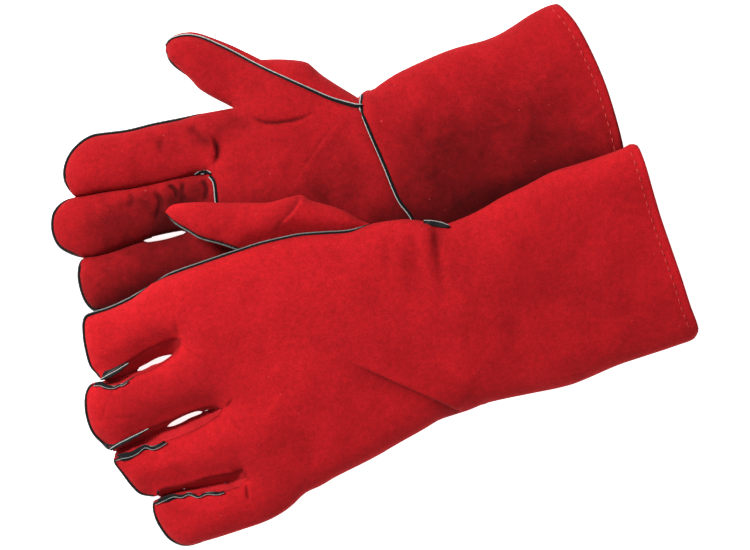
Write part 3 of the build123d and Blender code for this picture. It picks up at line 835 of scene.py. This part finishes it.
def suede(name, colour, sheen=0.05):
    mat, tree, bsdf = nodes_of(name, 0.93, 0.08, Sheen_Weight=sheen, Sheen_Roughness=0.45,
                               Sheen_Tint=(1.0, 0.22, 0.2, 1))
    net = Net(tree)
    # the shade attribute holds painted shade and painted light
    depth = net.attribute("shade")
    # mottling that grows stronger where the painted shade is dark
    shade_mottle = net.math("MULTIPLY", net.span(depth, 0.2, 1.0, 0.0, 1.0),
                    net.span(net.noise(60, 5.0, 0.65, 0.6), 0.35, 0.65, -0.26, 0.26))
    cloudy = net.math("ADD", net.span(net.noise(26, 5.0, 0.65, 0.8), 0.32, 0.68, 0.86, 1.12), shade_mottle)
    nap = net.span(net.noise(330, 5.0, 0.7, 0.4), 0.3, 0.7, 0.84, 1.15)
    grain = net.span(net.noise(1000, 3.0, 0.6), 0.3, 0.7, 0.84, 1.16)
    # painted shade as a factor on the colour: darker above zero, lighter below it
    shade = net.span(depth, -0.4, 1.4, 1.247, 0.137)
    tone = net.math("MULTIPLY", net.math("MULTIPLY", cloudy, nap), net.math("MULTIPLY", grain, shade))
    base = net.scaled(colour, tone)
    fleck = net.span(net.noise(420, 2.0, 0.7), 0.74, 0.80, 0.0, 0.35)
    base = net.mix(fleck, base, (0.85, 0.16, 0.15, 1))
    net.link(base, bsdf.inputs["Base Color"])
    soft = net.bump(net.noise(120, 4.0, 0.6), 0.25, 0.0012)
    net.link(net.bump(net.noise(1400, 3.0, 0.6), 0.35, 0.0003, soft), bsdf.inputs["Normal"])
    return mat


def welt_leather():
    mat, tree, bsdf = nodes_of("welt_black", 0.6, 0.10)
    net = Net(tree)
    grey_rim = net.mix(net.noise(700, 2.0, 0.6), (0.12, 0.13, 0.12, 1), (0.42, 0.44, 0.42, 1))
    net.link(net.mix(net.attribute("edge"), (0.004, 0.0045, 0.005, 1), grey_rim), bsdf.inputs["Base Color"])
    net.link(net.bump(net.noise(900, 3.0, 0.6), 0.3, 0.0003), bsdf.inputs["Normal"])
    return mat


def cloth(name, colour, scale, depth):
    mat, tree, bsdf = nodes_of(name, 0.95, 0.1, Sheen_Weight=0.3)
    net = Net(tree)
    tone = net.span(net.noise(scale, 4.0, 0.65), 0.3, 0.7, 0.86, 1.08)
    net.link(net.scaled(colour, tone), bsdf.inputs["Base Color"])
    net.link(net.bump(net.noise(scale * 2, 4.0, 0.7), 0.6, depth), bsdf.inputs["Normal"])
    return mat


RED = (0.328, 0.0060, 0.0090)
# the finger side strips get the red suede a little darker: painted shade for strips that sit down in the
# slots
MATERIALS = dict(
    suede=suede("suede_red", RED), fork=suede("suede_fork_painted_shade", (0.30, 0.008, 0.011), 0.04),
    welt=welt_leather(), fleece=cloth("fleece_white", (0.78, 0.74, 0.66), 600, 0.0012),
    canvas=cloth("canvas_plain", (0.66, 0.61, 0.50), 1500, 0.0004),
    thread=plain("thread_red", (0.42, 0.035, 0.03), 0.8))


# ------------------------------------------------------------------ the two gloves
AXIS = np.array([math.cos(ARM), math.sin(ARM)])
THUMBWARD = np.array([-math.sin(ARM), math.cos(ARM)])
LEFT_AT = np.array([48.56, -22.38])          # middle of the upper glove's wrist


def ease(x):
    x = np.clip(x, 0, 1)
    return x * x * (3 - 2 * x)


def right_level(p):
    """Seam height of the lower glove."""
    u = -(np.asarray(p) - LEFT_AT) @ AXIS
    return 9.2 - 1.4 * ease((u - 110) / 60)


def left_level(p):
    """Seam height of the upper glove: rolled towards its thumb, fingertips hanging a little."""
    d = np.asarray(p) - LEFT_AT
    u, v = -d @ AXIS, d @ THUMBWARD
    return 24.2 + 0.2217 * v - 6.0 * ease((u - 140) / 75)


def thumb_level(p):
    """Seam height of the upper glove's thumb, which hangs below the hand."""
    return left_level(p) - 6.5 * ease((np.asarray(p)[:, 1] + 2) / 45) - 1.5


def left_ring(slots, slot_rise, way):
    """Outline of the upper glove's back (way 1) or palm (way -1), each with its own slot edges."""
    ring = [(LEFT["mouth"], None), (LEFT["cuff_low"], way * PLAIN)]
    for key in ("little_up", "ring_low", "ring_tip", "ring_up", "middle_low", "middle_tip", "middle_up",
                "index_low", "index_tip"):
        ring.append((LEFT[key], way * WELT_RISE) if key.endswith("tip") else (slots[key], slot_rise))
    return ring + [(LEFT["hand_up"][:17], way * WELT_RISE), (LEFT["hand_up"][16:], way * PLAIN)]


def fold_lines(table):
    return [line for line, *_ in table.values()]


right_side = RIGHT["hand_low"][:8]
right_ring = [(RIGHT["mouth"], None), (RIGHT["cuff_low"], PLAIN),
              (RIGHT["hand_low"][:13], WELT_RISE), (RIGHT["hand_low"][12:], FORK),
              (RIGHT["ring_low"][:9], FORK), (RIGHT["ring_low"][8:], WELT_RISE),
              (RIGHT["middle_low"], FORK),
              (RIGHT["index_low"][:8], FORK), (RIGHT["index_low"][7:], WELT_RISE),
              (RIGHT["thumb_low"], WELT_RISE), (RIGHT["hump"], PLAIN), (RIGHT["cuff_top"], PLAIN)]
right_grooves = [RIGHT_LINES[key] for key in ("thumb_welt", "wrist", "gunn")]
right_welts = list(RIGHT_WELTS.values())
right = Pattern(right_ring, RIGHT_LINES, right_welts, fold_lines(RIGHT_FOLDS) + right_grooves,
                right_welts + [right_side])

left_welts = [LEFT_WELTS["side"], LEFT_WELTS["index"][:11], LEFT_WELTS["middle"][7:15],
              LEFT_WELTS["ring"][8:15], LEFT_WELTS["little"][8:15]]
left_welted = list(LEFT_WELTS.values())
left = Pattern(left_ring(LEFT, SLOT_RISE, 1), LEFT_LINES, left_welts,
               fold_lines(LEFT_FOLDS) + fold_lines(THUMB_FOLDS), left_welted)

under_lines = dict(LEFT_LINES)
for web, key in (("web1", "index_low"), ("web2", "middle_low"), ("web3", "ring_low")):
    under_lines[web] = [LEFT[key][0], LEFT_LOW_SLOTS[key][0]]
under_lines["gunn"] = [(-116, -28), (-105, -43), (-92, -60), (-84, -76), (-77, -98), (-70, -116)]
left_under = Pattern(left_ring(LEFT_LOW_SLOTS, -SLOT_DROP, -1), under_lines, left_welts, (), left_welted)

thumb_seam = THUMB["low"][::-1]
thumb = Pattern([(THUMB["up"], PLAIN), (THUMB["root"], 0), (THUMB["low"], WELT_RISE)], {}, [thumb_seam],
                fold_lines(THUMB_FOLDS))


def folds(points, table, shape=crease):
    """Sum of a shape over every fold of the table, as far as it reaches."""
    z = np.zeros(len(points))
    for line, *values in table.values():
        low, high = np.min(line, 0) - FOLD_REACH, np.max(line, 0) + FOLD_REACH
        near = ((points > low) & (points < high)).all(1)
        if near.any():
            z[near] += shape(points[near], line, *values)
    return z


def hem(mouth):
    """The mouth line drawn back along the cuff."""
    return [tuple(np.array(p) - AXIS * HEM) for p in mouth]


def groove(points, line, depth, width):
    """Seam line pulled down into a panel."""
    return -depth * np.exp(-(gap_to(points, [line]) / width) ** 2)


def uneven(crown, points, large, small):
    """Large and small unevenness, each (size, amount, seed), where the padding is thick."""
    return np.clip(crown / 8, 0, 1) * (wobble(points, *large) + wobble(points, *small))


# lower glove: palm upwards, its back lying flat on the table
level_r = right_level(right.v)
crown_r = right.pillow(RIGHT_PAD, PAD_RUN)
right_top = level_r + right.rise() + crown_r + folds(right.v, RIGHT_FOLDS)
for line, (depth, width) in zip(right_grooves + [hem(RIGHT["mouth"])],
                                ((2.2, 1.9), (1.9, 1.9), (1.5, 1.6), (0.45, 1.0))):
    right_top += groove(right.v, line, depth, width)
right_top += uneven(crown_r, right.v, (38, 2.4, 1.3), (16, 0.9, 7.7))
right_low = level_r - right.rise(SEAT) - right.pillow(13.0, 6.0)
flattened = 0.02 + 0.88 * np.exp((right_low - FLAT_BELOW) / 0.88 * 0.7)
right_low = np.where(right_low < FLAT_BELOW, flattened, right_low)
right_low = np.minimum(right_low, right_top - 0.6)
palm_face = Surface(right, right_top)

# upper glove: back upwards, resting on the lower one, its padding pressed down beside the slots
crown_l = left.pillow(LEFT_PAD, PAD_RUN)
slot_gap = gap_to(left.v, [LEFT[key] for key in LEFT_LOW_SLOTS])
crown_l = LEFT_PAD * (crown_l / LEFT_PAD) ** (1 + 0.6 * np.exp(-(slot_gap / 9.0) ** 2))
left_top = left_level(left.v) + left.rise() + crown_l + folds(left.v, LEFT_FOLDS)
left_top += groove(left.v, hem(LEFT["mouth"]), 0.45, 1.0)
left_top += uneven(crown_l, left.v, (45, 2.2, 4.1), (17, 0.7, 9.9))
left_low = left_level(left_under.v) + left_under.rise(SEAT) - left_under.pillow(9.0, 9.0)
left_low = np.maximum(left_low, palm_face.at(left_under.v, missing=HIDDEN) + 1.0)
left_low = np.maximum(left_low, 0.4)
back_face = Surface(left, left_top)
under_face = Surface(left_under, left_low)

# thumb of the upper glove, hanging out from under its side seam: a cap keeps it below the hand
gap = gap_to(thumb.v, [LEFT["hand_up"]])
outside = np.where(inside(thumb.v, left.trace), -gap, gap)
cap = left_level(thumb.v) - 3.0 + np.clip(outside, 0, None) * 0.75 + np.minimum(outside, 0) * 0.12
level_t = thumb_level(thumb.v)
thumb_top = level_t + thumb.rise() + thumb.pillow(THUMB_PAD, 9.0) + folds(thumb.v, THUMB_FOLDS)
thumb_top = -np.logaddexp(-thumb_top * 0.9, -cap * 0.9) / 0.9
thumb_low = level_t - thumb.rise(SEAT) - thumb.pillow(8.0, 8.0)
thumb_low = np.maximum(thumb_low, palm_face.at(thumb.v, missing=HIDDEN) + 0.8)
thumb_top = np.maximum(thumb_top, thumb_low + 1.2)


def slack(top, low):
    """Leather thickness that still fits between the two sides near the seams."""
    return np.clip(0.42 * (top - low), THINNEST, SKIN)


thick_r = slack(right_top, right_low)
thick_l = slack(left_top, under_face.at(left.v, missing=-99))
thick_u = slack(back_face.at(left_under.v, missing=99), left_low)
thick_t = slack(thumb_top, thumb_low)


# ------------------------------------------------------------------ painted shade and light on each side
# soft patches of painted shade, and of painted light where the strength is negative:
# x, y, length, breadth, heading in degrees, strength (positive is darker); the last three left ones are
# lighter spots at the finger crotches
RIGHT_SHADE_PATCHES = [
    (80, 85, 64, 36, 20, 0.26), (40, 62, 36, 34, 20, 0.50), (96, 80, 26, 14, 20, 0.16),
    (-88, 92, 18, 8, 35, 0.42), (-118, 80, 9, 12, -10, 0.16), (-103, 85, 9, 9, 20, 0.22),
    (-128, 36, 38, 17, 12, 0.48), (-117, 42, 10, 15, -12, 0.50), (-104, 47, 9, 13, 0, 0.36),
    (-140, 5, 34, 26, 10, 0.36), (-25, 68, 22, 18, -20, 0.18), (-40, 50, 45, 12, 10, 0.34),
    (-150, 78, 32, 16, 10, 0.20), (-110, 133, 30, 12, -25, 0.10), (140, 80, 9, 40, -18, -0.20),
    (-157, 39, 24, 11, 10, 0.28), (92, 104, 28, 14, 20, 0.20), (42, 84, 20, 18, 10, 0.18),
    (60, 50, 22, 9, 20, 0.10), (-85, 121, 26, 12, -25, 0.14),
    (-125, 33, 9, 5, 20, 0.35), (-136, 50, 5, 7, -20, 0.30), (-121, 48, 8, 4, -40, 0.30),
    (-104, 57, 5, 9, 0, 0.30)]
LEFT_SHADE_PATCHES = [
    (70, -25, 40, 45, 20, 0.14), (120, 10, 70, 60, 20, 0.17), (30, -60, 36, 12, -25, 0.20),
    (-75, -95, 34, 34, 0, 0.14), (-110, -70, 34, 16, 20, 0.14), (38, 27, 5, 10, -10, 0.45),
    (-80, 33, 30, 12, 0, 0.26), (-15, 33, 24, 9, 0, 0.24), (22, 22, 12, 30, 0, 0.12),
    (-110, -140, 30, 14, 10, 0.14), (-142, -31, 26, 12, 18, -0.26), (-142, -69, 26, 12, 20, 0.30),
    (15, -41, 16, 12, 0, 0.22), (127, -5, 26, 30, 0, 0.10), (-92, 35, 16, 10, 0, 0.16),
    (-117.8, -33.2, 5, 1.1, 20, -0.5), (-91.5, -74.4, 4, 1.2, 30, -0.5), (-75.2, -115, 1.2, 5, 0, -0.5)]
# the upper glove's edge, from which its shadow is painted onto the lower glove
OVERHANG_SHADOW_EDGE = spline(LEFT["hand_up"], 2.5)


def blobs(q, spots):
    total = np.zeros(len(q))
    for x, y, length, breadth, turn, strength in spots:
        c, s = math.cos(math.radians(turn)), math.sin(math.radians(turn))
        d = q - (x, y)
        u, v = d[:, 0] * c + d[:, 1] * s, d[:, 1] * c - d[:, 0] * s
        total += strength * np.exp(-((u / length) ** 2 + (v / breadth) ** 2))
    return total


def painted_edge_shade(q, paths):
    """Painted shade: a thin dark line along a panel's edge, with a painted highlight a little inside it."""
    gap = gap_to(q, paths)
    return 0.7 * np.exp(-(gap / 0.9) ** 2) - 0.14 * np.exp(-((gap - 2.6) / 1.2) ** 2)


def painted_fold_shade(q, table):
    # painted shade in the folds of a table
    return np.clip(folds(q, table, painted_crease_shade), 0, 1)


def right_shade(q):
    """Painted shade: the upper glove's shadow where it overhangs the lower one, a darker step over the whole
    glove, shade in its folds, a dark line at its mouth, and soft patches of painted shade and light.
    """
    # painted shadow of the upper glove: full under it, fading out beyond its edge
    open_side = np.exp(-(near_line(q, OVERHANG_SHADOW_EDGE)[0] / 17.0) ** 1.2)
    under = np.where(inside(q, left.trace), 1.0, open_side) * 0.78
    patch = blobs(q, RIGHT_SHADE_PATCHES) + painted_edge_shade(q, [RIGHT["mouth"]])
    # 0.34 is painted shade that makes the whole lower glove a step darker
    return np.clip(0.34 + under + painted_fold_shade(q, RIGHT_FOLDS) * 0.85 + patch, 0, 1.4)


def left_shade(q):
    # painted shade: dark lines at the mouth and slot edges, shade in the folds, and soft patches of painted
    # shade and light
    edges = painted_edge_shade(q, [LEFT["mouth"]] + [LEFT[key] for key in LEFT_LOW_SLOTS])
    painted_folds = painted_fold_shade(q, LEFT_FOLDS) * 0.7
    return np.clip(painted_folds + blobs(q, LEFT_SHADE_PATCHES) + edges, -0.4, 1)


def thumb_shade(q):
    # painted shade in the thumb's folds, with the soft patches of painted shade and light
    return np.clip(painted_fold_shade(q, THUMB_FOLDS) * 0.9 + blobs(q, LEFT_SHADE_PATCHES), -0.4, 1)


# ------------------------------------------------------------------ pieces
class Side:
    """One side of a glove, cut into parts at the bending lines and seams that cross it."""

    def __init__(self, pat, z, upward, thick, seeds=None, barriers=(), shade=None):
        self.thick, self.shade = thick, shade
        self.points = np.column_stack([pat.v, z])
        self.faces = pat.t if upward else pat.t[:, ::-1]
        self.normals = normals_of(self.points, self.faces)
        self.parts = pat.parts(seeds, barriers) if seeds else {"all": np.arange(len(pat.t))}
        self.off_seams = spread(pat.v, pat.v[pat.seams]).min(1) > SEAM_CLEAR ** 2

    def leather(self, part):
        return self.points, self.normals, self.faces[self.parts[part]]

    def inner(self, *names):
        """Sheet just inside the leather of some parts, where the leather has its full thickness."""
        t = self.faces[np.concatenate([self.parts[name] for name in names])]
        keep = (self.thick[t].min(1) > SKIN * 0.93) & self.off_seams[t].all(1)
        depth = (self.thick + LINING_GAP)[:, None]
        return self.points - self.normals * depth, self.normals, t[keep] if keep.sum() >= 8 else t


ROOTS = [digit + "_root" for digit in DIGITS]
right_down_seeds = dict(hand=(-60, 60), cuff=(80, 90), index=(-150, 70), thumb=(-90, 125))
right_up_seeds = dict(hand=(-60, 60), cuff=(80, 90), index=(-150, 70), fingers=(-150, 35),
                      front=(-90, 125), ridge=(-50, 126))
left_seeds = dict(hand=(-40, -40), cuff=(120, 0), index=(-150, -35), middle=(-150, -75),
                  ring=(-135, -110), little=(-110, -140))
right_up = Side(right, right_top, True, thick_r, right_up_seeds,
                ["index_root", "thumb_root", "thumb_welt", "wrist", "gunn"], right_shade)
right_down = Side(right, right_low, False, thick_r, right_down_seeds,
                  ["index_root", "thumb_root", "wrist"])
left_up = Side(left, left_top, True, thick_l, left_seeds, ROOTS + ["wrist"], left_shade)
left_down = Side(left_under, left_low, False, thick_u, left_seeds,
                 ROOTS + ["wrist", "web1", "web2", "web3"])
thumb_up = Side(thumb, thumb_top, True, thick_t, shade=thumb_shade)
thumb_down = Side(thumb, thumb_low, False, thick_t)


def follow(obj, body):
    """Moves with its body for the two hands; for the rest it only bakes the transform into the mesh."""
    if body in ("right_hand", "left_hand"):
        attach(obj, body)
        return
    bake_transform(obj)


def finish_piece(obj, node, body, slot_name):
    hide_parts(node)
    obj.data.materials.append(MATERIALS[slot_name])
    follow(obj, body)


def panel(node, body, *sheets):
    """Leather over (side, part) sheets; the first side sets the thickness and the shade."""
    first = sheets[0][0]
    obj = skins("soft_" + node, [side.leather(part) for side, part in sheets], first.thick, first.shade)
    finish_piece(obj, node, body, "suede")


def lining_piece(node, body, slot_name, *sheets):
    """Fleece or canvas just inside the leather; sheets: side and the parts that it lines."""
    obj = skins("soft_" + node, [side.inner(*parts) for side, *parts in sheets], LINING)
    finish_piece(obj, node, body, slot_name)


panel("right_palm", "right_hand", (right_up, "hand"))
panel("right_middle_fingers_front", "right_hand", (right_up, "fingers"))
panel("right_cuff_palm", "right_hand", (right_up, "cuff"))
panel("right_index_front", "right_index", (right_up, "index"))
panel("right_thumb_front", "right_thumb", (right_up, "front"))
panel("right_thumb_back", "right_thumb", (right_up, "ridge"), (right_down, "thumb"))
panel("right_back", "right_hand", (right_down, "hand"))
panel("right_index_back", "right_index", (right_down, "index"))
panel("right_cuff_back", "right_hand", (right_down, "cuff"))
panel("left_back", "left_hand", (left_up, "hand"))
panel("left_palm", "left_hand", (left_down, "hand"))
panel("left_cuff_back", "left_cuff", (left_up, "cuff"))
panel("left_cuff_palm", "left_cuff", (left_down, "cuff"))
for digit in DIGITS:
    panel(f"left_{digit}_back", "left_" + digit, (left_up, digit))
    panel(f"left_{digit}_front", "left_" + digit, (left_down, digit))
panel("left_thumb_back", "left_thumb", (thumb_up, "all"))
panel("left_thumb_front", "left_thumb", (thumb_down, "all"))

lining_piece("right_hand_lining", "right_hand", "fleece", (right_up, "hand", "fingers"), (right_down, "hand"))
lining_piece("right_cuff_lining", "right_hand", "canvas", (right_up, "cuff"), (right_down, "cuff"))
lining_piece("right_index_lining", "right_index", "fleece", (right_up, "index"), (right_down, "index"))
lining_piece("right_thumb_lining", "right_thumb", "fleece", (right_up, "front", "ridge"),
             (right_down, "thumb"))
lining_piece("left_hand_lining", "left_hand", "fleece", (left_up, "hand"), (left_down, "hand"))
lining_piece("left_cuff_lining", "left_cuff", "canvas", (left_up, "cuff"), (left_down, "cuff"))
for digit in DIGITS:
    lining_piece(f"left_{digit}_lining", "left_" + digit, "fleece", (left_up, digit), (left_down, digit))
lining_piece("left_thumb_lining", "left_thumb", "fleece", (thumb_up, "all"), (thumb_down, "all"))


# ------------------------------------------------------------------ finger side strips
def slot_curve(pat, level, points, rise):
    """Edge of a strip along a seam, drawn in with the panel."""
    curve = spline(points, STEP)
    near = spread(curve, pat.trace).argmin(1)
    draw = pat.draw[near] - np.where(pat.room[near] < CLOSED_SLOT, 0.35, 0)
    curve = curve - pat.out[near] * draw[:, None]
    return np.column_stack([curve, level(curve) + rise])


def fork(node, body, pairs):
    obj = skins("soft_" + node, [wall(top, low) for top, low in pairs], STRIP)
    finish_piece(obj, node, body, "fork")


def slot_end(upper, lower):
    """Piece of the strip that closes a slot at the root of two fingers."""
    pull = (np.array(LEFT[upper][0]) - LEFT[lower][-1]) * 0.25
    edges = []
    for table, shift, height in ((LEFT, 1.0, SLOT_RISE + 0.6), (LEFT_LOW_SLOTS, -0.9, -SLOT_DROP - 0.4)):
        first = table[lower][-1] - pull + AXIS * shift
        last = table[upper][0] + pull + AXIS * shift
        curve = spline([first, last], 1.5)
        edges.append(np.column_stack([curve, left_level(curve) + height]))
    return edges


def right_strip(points):
    return [slot_curve(right, right_level, points, rise) for rise in (FORK, -FORK)]


for digit, edges, root in (("index", ["index_low"], None),
                           ("middle", ["middle_up", "middle_low"], ("index_low", "middle_up")),
                           ("ring", ["ring_up", "ring_low"], ("middle_low", "ring_up")),
                           ("little", ["little_up"], ("ring_low", "little_up"))):
    strips = [(slot_curve(left, left_level, LEFT[key], SLOT_RISE),
               slot_curve(left_under, left_level, LEFT_LOW_SLOTS[key], -SLOT_DROP)) for key in edges]
    if root:
        strips.append(slot_end(*root))
    fork(f"left_{digit}_fork", "left_" + digit, strips)
fork("right_index_fork", "right_index", [right_strip(RIGHT["index_low"][:8])])
fork("right_finger_forks", "right_hand",
     [right_strip(points) for points in (RIGHT["middle_low"][11:], RIGHT["middle_low"][:11],
                                         RIGHT["ring_low"][:9], RIGHT["hand_low"][12:])])


# ------------------------------------------------------------------ welts
def welts(node, body, *ribbons):
    verts, faces, edge = [], [], []
    for v, f, e in ribbons:
        faces += shifted(f, len(edge))
        verts.append(v)
        edge += e
    obj = new_object("soft_" + node, np.vstack(verts), faces, edge=edge)
    finish_piece(obj, node, body, "welt")


def right_welt(path, **more):
    return seam_welt(right, right_level, path, **more)


# short welts lying in the upper glove's finger slots: path, widths along it, waviness
LIPS = dict(
    index=[([(-161.5, -57.6), (-158, -55.6), (-151, -51.8), (-144.5, -47.8)], (1.2, 2.4, 2.0, 0.7), 0.4)],
    middle=[([(-144.5, -59.0), (-147.9, -61.6), (-150.5, -61.9), (-153, -63.2), (-157.4, -63.0),
              (-161.5, -61.6), (-165.5, -61.8)], (0.8, 1.2, 1.4, 2.0, 2.6, 1.8), 1.0),
            ([(-156.5, -99.0), (-151, -95.6), (-143, -91.6), (-133.5, -86.8)], (1.8, 2.2, 1.6, 0.7), 0.6)],
    ring=[([(-122.4, -95.6), (-127, -98.4), (-131.4, -99.9), (-135.4, -98.6), (-139.6, -101.8),
            (-144.5, -104.2), (-149.5, -105.2), (-153.4, -106.6)], (0.9, 1.6, 1.4, 2.6, 3.2, 3.4, 3.0), 0.5)],
    little=[([(-89.0, -125.6), (-93, -126.8), (-99.5, -126.6), (-104.8, -128.6), (-110.2, -126.8),
              (-114.3, -128.6), (-119.4, -128.2), (-124.4, -130.4), (-130.2, -133.2)],
             (1.8, 1.2, 1.4, 1.3, 1.6, 1.6, 2.4, 2.8, 2.2), 0.8)])
WRIST_END = [(28.5, 34.6), (33, 33.2), (38, 32.0), (43.5, 31.6)]
GUNN_END = [(-107, 63.2), (-103, 64.6), (-100.2, 64.8), (-97.4, 63.2)]

welts("right_index_welt", "right_index", right_welt(RIGHT_WELTS["index"]))
welts("right_fingers_welt", "right_hand", *(right_welt(RIGHT_WELTS[k]) for k in DIGITS[1:]))
welts("right_side_welt", "right_hand", right_welt(right_side))
welts("right_thumb_welt", "right_thumb",
      top_welt(palm_face, RIGHT_LINES["thumb_welt"][1:], 1, (1.1, 1.3, 1.4, 1.5, 1.8, 2.6), lean=0.4),
      right_welt(RIGHT_WELTS["thumb"], start=0.1))
welts("right_wrist_welt", "right_hand", top_welt(palm_face, RIGHT_LINES["wrist"][1:], -1))
welts("right_palm_seam_welt", "right_hand",
      top_welt(palm_face, GUNN_END, 1, (0.8, 1.5, 1.8, 1.4), 1.3, 0.5, 1.0),
      top_welt(palm_face, RIGHT_LINES["gunn"][1:], -1))
welts("left_side_welt", "left_hand", seam_welt(left, left_level, LEFT_WELTS["side"]))
for digit in DIGITS:
    lips = [top_welt(back_face, path, -1, widths, 1.1, 0.1, 1.0, near=True, wave=wave, seed=4.3)
            for path, widths, wave in LIPS[digit]]
    welts(f"left_{digit}_welt", "left_" + digit, seam_welt(left, left_level, LEFT_WELTS[digit]), *lips)
welts("left_thumb_welt", "left_thumb", seam_welt(thumb, thumb_level, thumb_seam, reach=2.7, lean=0.5))
welts("left_wrist_welt", "left_hand",
      top_welt(under_face, LEFT_LINES["wrist"], -1, lean=-0.5, lift=-0.5),
      top_welt(back_face, WRIST_END, 1, (1.2, 2.6, 2.8, 1.2), 1.2, 0.1, 1.2))
welts("left_palm_seam_welt", "left_hand",
      top_welt(under_face, under_lines["gunn"], -1, lean=-0.5, lift=-0.5, grey=0.0))

# ------------------------------------------------------------------ hem stitches
BOX_CORNERS = ((-1, -1), (1, -1), (0.6, 1), (-0.6, 1))
BOX_FACES = [(0, 1, 2, 3), (7, 6, 5, 4), (0, 4, 5, 1), (1, 5, 6, 2), (2, 6, 7, 3), (3, 7, 4, 0)]


def stitches(node, body, face, path):
    """Row of short threads lying on the leather: 3 mm long, 2 mm apart."""
    curve = spline(path, 1.0)
    z = face.at(curve) + 0.12
    verts, faces = [], []
    for k in range(3, len(curve) - 5, 5):
        a, b = (np.array([*curve[i], z[i]]) for i in (k, k + 3))
        run = (b - a) / np.linalg.norm(b - a)
        side, up = np.array([-run[1], run[0], 0]) * 0.3, np.array([0, 0, 0.25])
        box = [end + side * s + up * u for end in (a, b) for s, u in BOX_CORNERS]
        faces += shifted(turned(np.array(box) - np.mean(box, 0), BOX_FACES), len(verts))
        verts += box
    obj = new_object("soft_" + node, np.array(verts), faces)
    finish_piece(obj, node, body, "thread")


stitches("right_hem_stitches", "right_hand", palm_face, hem(RIGHT["mouth"]))
stitches("left_hem_stitches", "left_cuff", back_face, hem(LEFT["mouth"]))

# ------------------------------------------------------------------ setting, in metres
FLOOR_HALF = 3.0
FLOOR_DROP = 0.0002               # keeps the table just clear of the leather
FOCAL = 135
SENSOR = 36
VIEW_WIDTH = 0.4425               # seen by the camera at the height VIEW_HEIGHT
VIEW_HEIGHT = 0.025
LIGHTS_AIM = Vector((0, 0, 0.02))

scene = bpy.context.scene
corners = [(-1, -1), (1, -1), (1, 1), (-1, 1)]
floor_mesh = bpy.data.meshes.new("table")
floor_mesh.from_pydata([(x * FLOOR_HALF, y * FLOOR_HALF, -FLOOR_DROP) for x, y in corners], [],
                       [(0, 1, 2, 3)])
floor = bpy.data.objects.new("table", floor_mesh)
scene.collection.objects.link(floor)
sheet_white = plain("table_white", (0.9, 0.9, 0.9), 0.9)
set_inputs(sheet_white.node_tree.nodes["Principled BSDF"],
           {"Emission Color": (1, 1, 1, 1), "Emission Strength": 0.85})
floor.data.materials.append(sheet_white)


def area_light(name, at, size, energy):
    data = bpy.data.lights.new(name, "AREA")
    data.shape = "DISK"
    data.size, data.energy = size, energy
    obj = bpy.data.objects.new(name, data)
    obj.location = at
    obj.rotation_euler = (LIGHTS_AIM - Vector(at)).to_track_quat("-Z", "Y").to_euler()
    scene.collection.objects.link(obj)
    return obj


key = area_light("key", (-0.98, 0.68, 1.2), 0.45, 50)
fill = area_light("fill", (-0.3, -0.6, 1.9), 1.4, 10)
world = bpy.data.worlds.new("world")
world.use_nodes = True
set_inputs(world.node_tree.nodes["Background"], {0: (1, 1, 1, 1), 1: 0.36})
scene.world = world

lens = bpy.data.cameras.new("camera")
lens.lens, lens.sensor_width = FOCAL, SENSOR
lens.clip_end = 20
camera = bpy.data.objects.new("camera", lens)
camera.location = (0.00018, 0.00358, VIEW_HEIGHT + VIEW_WIDTH * FOCAL / SENSOR)
scene.collection.objects.link(camera)
scene.camera = camera
scene.view_settings.view_transform = "Standard"
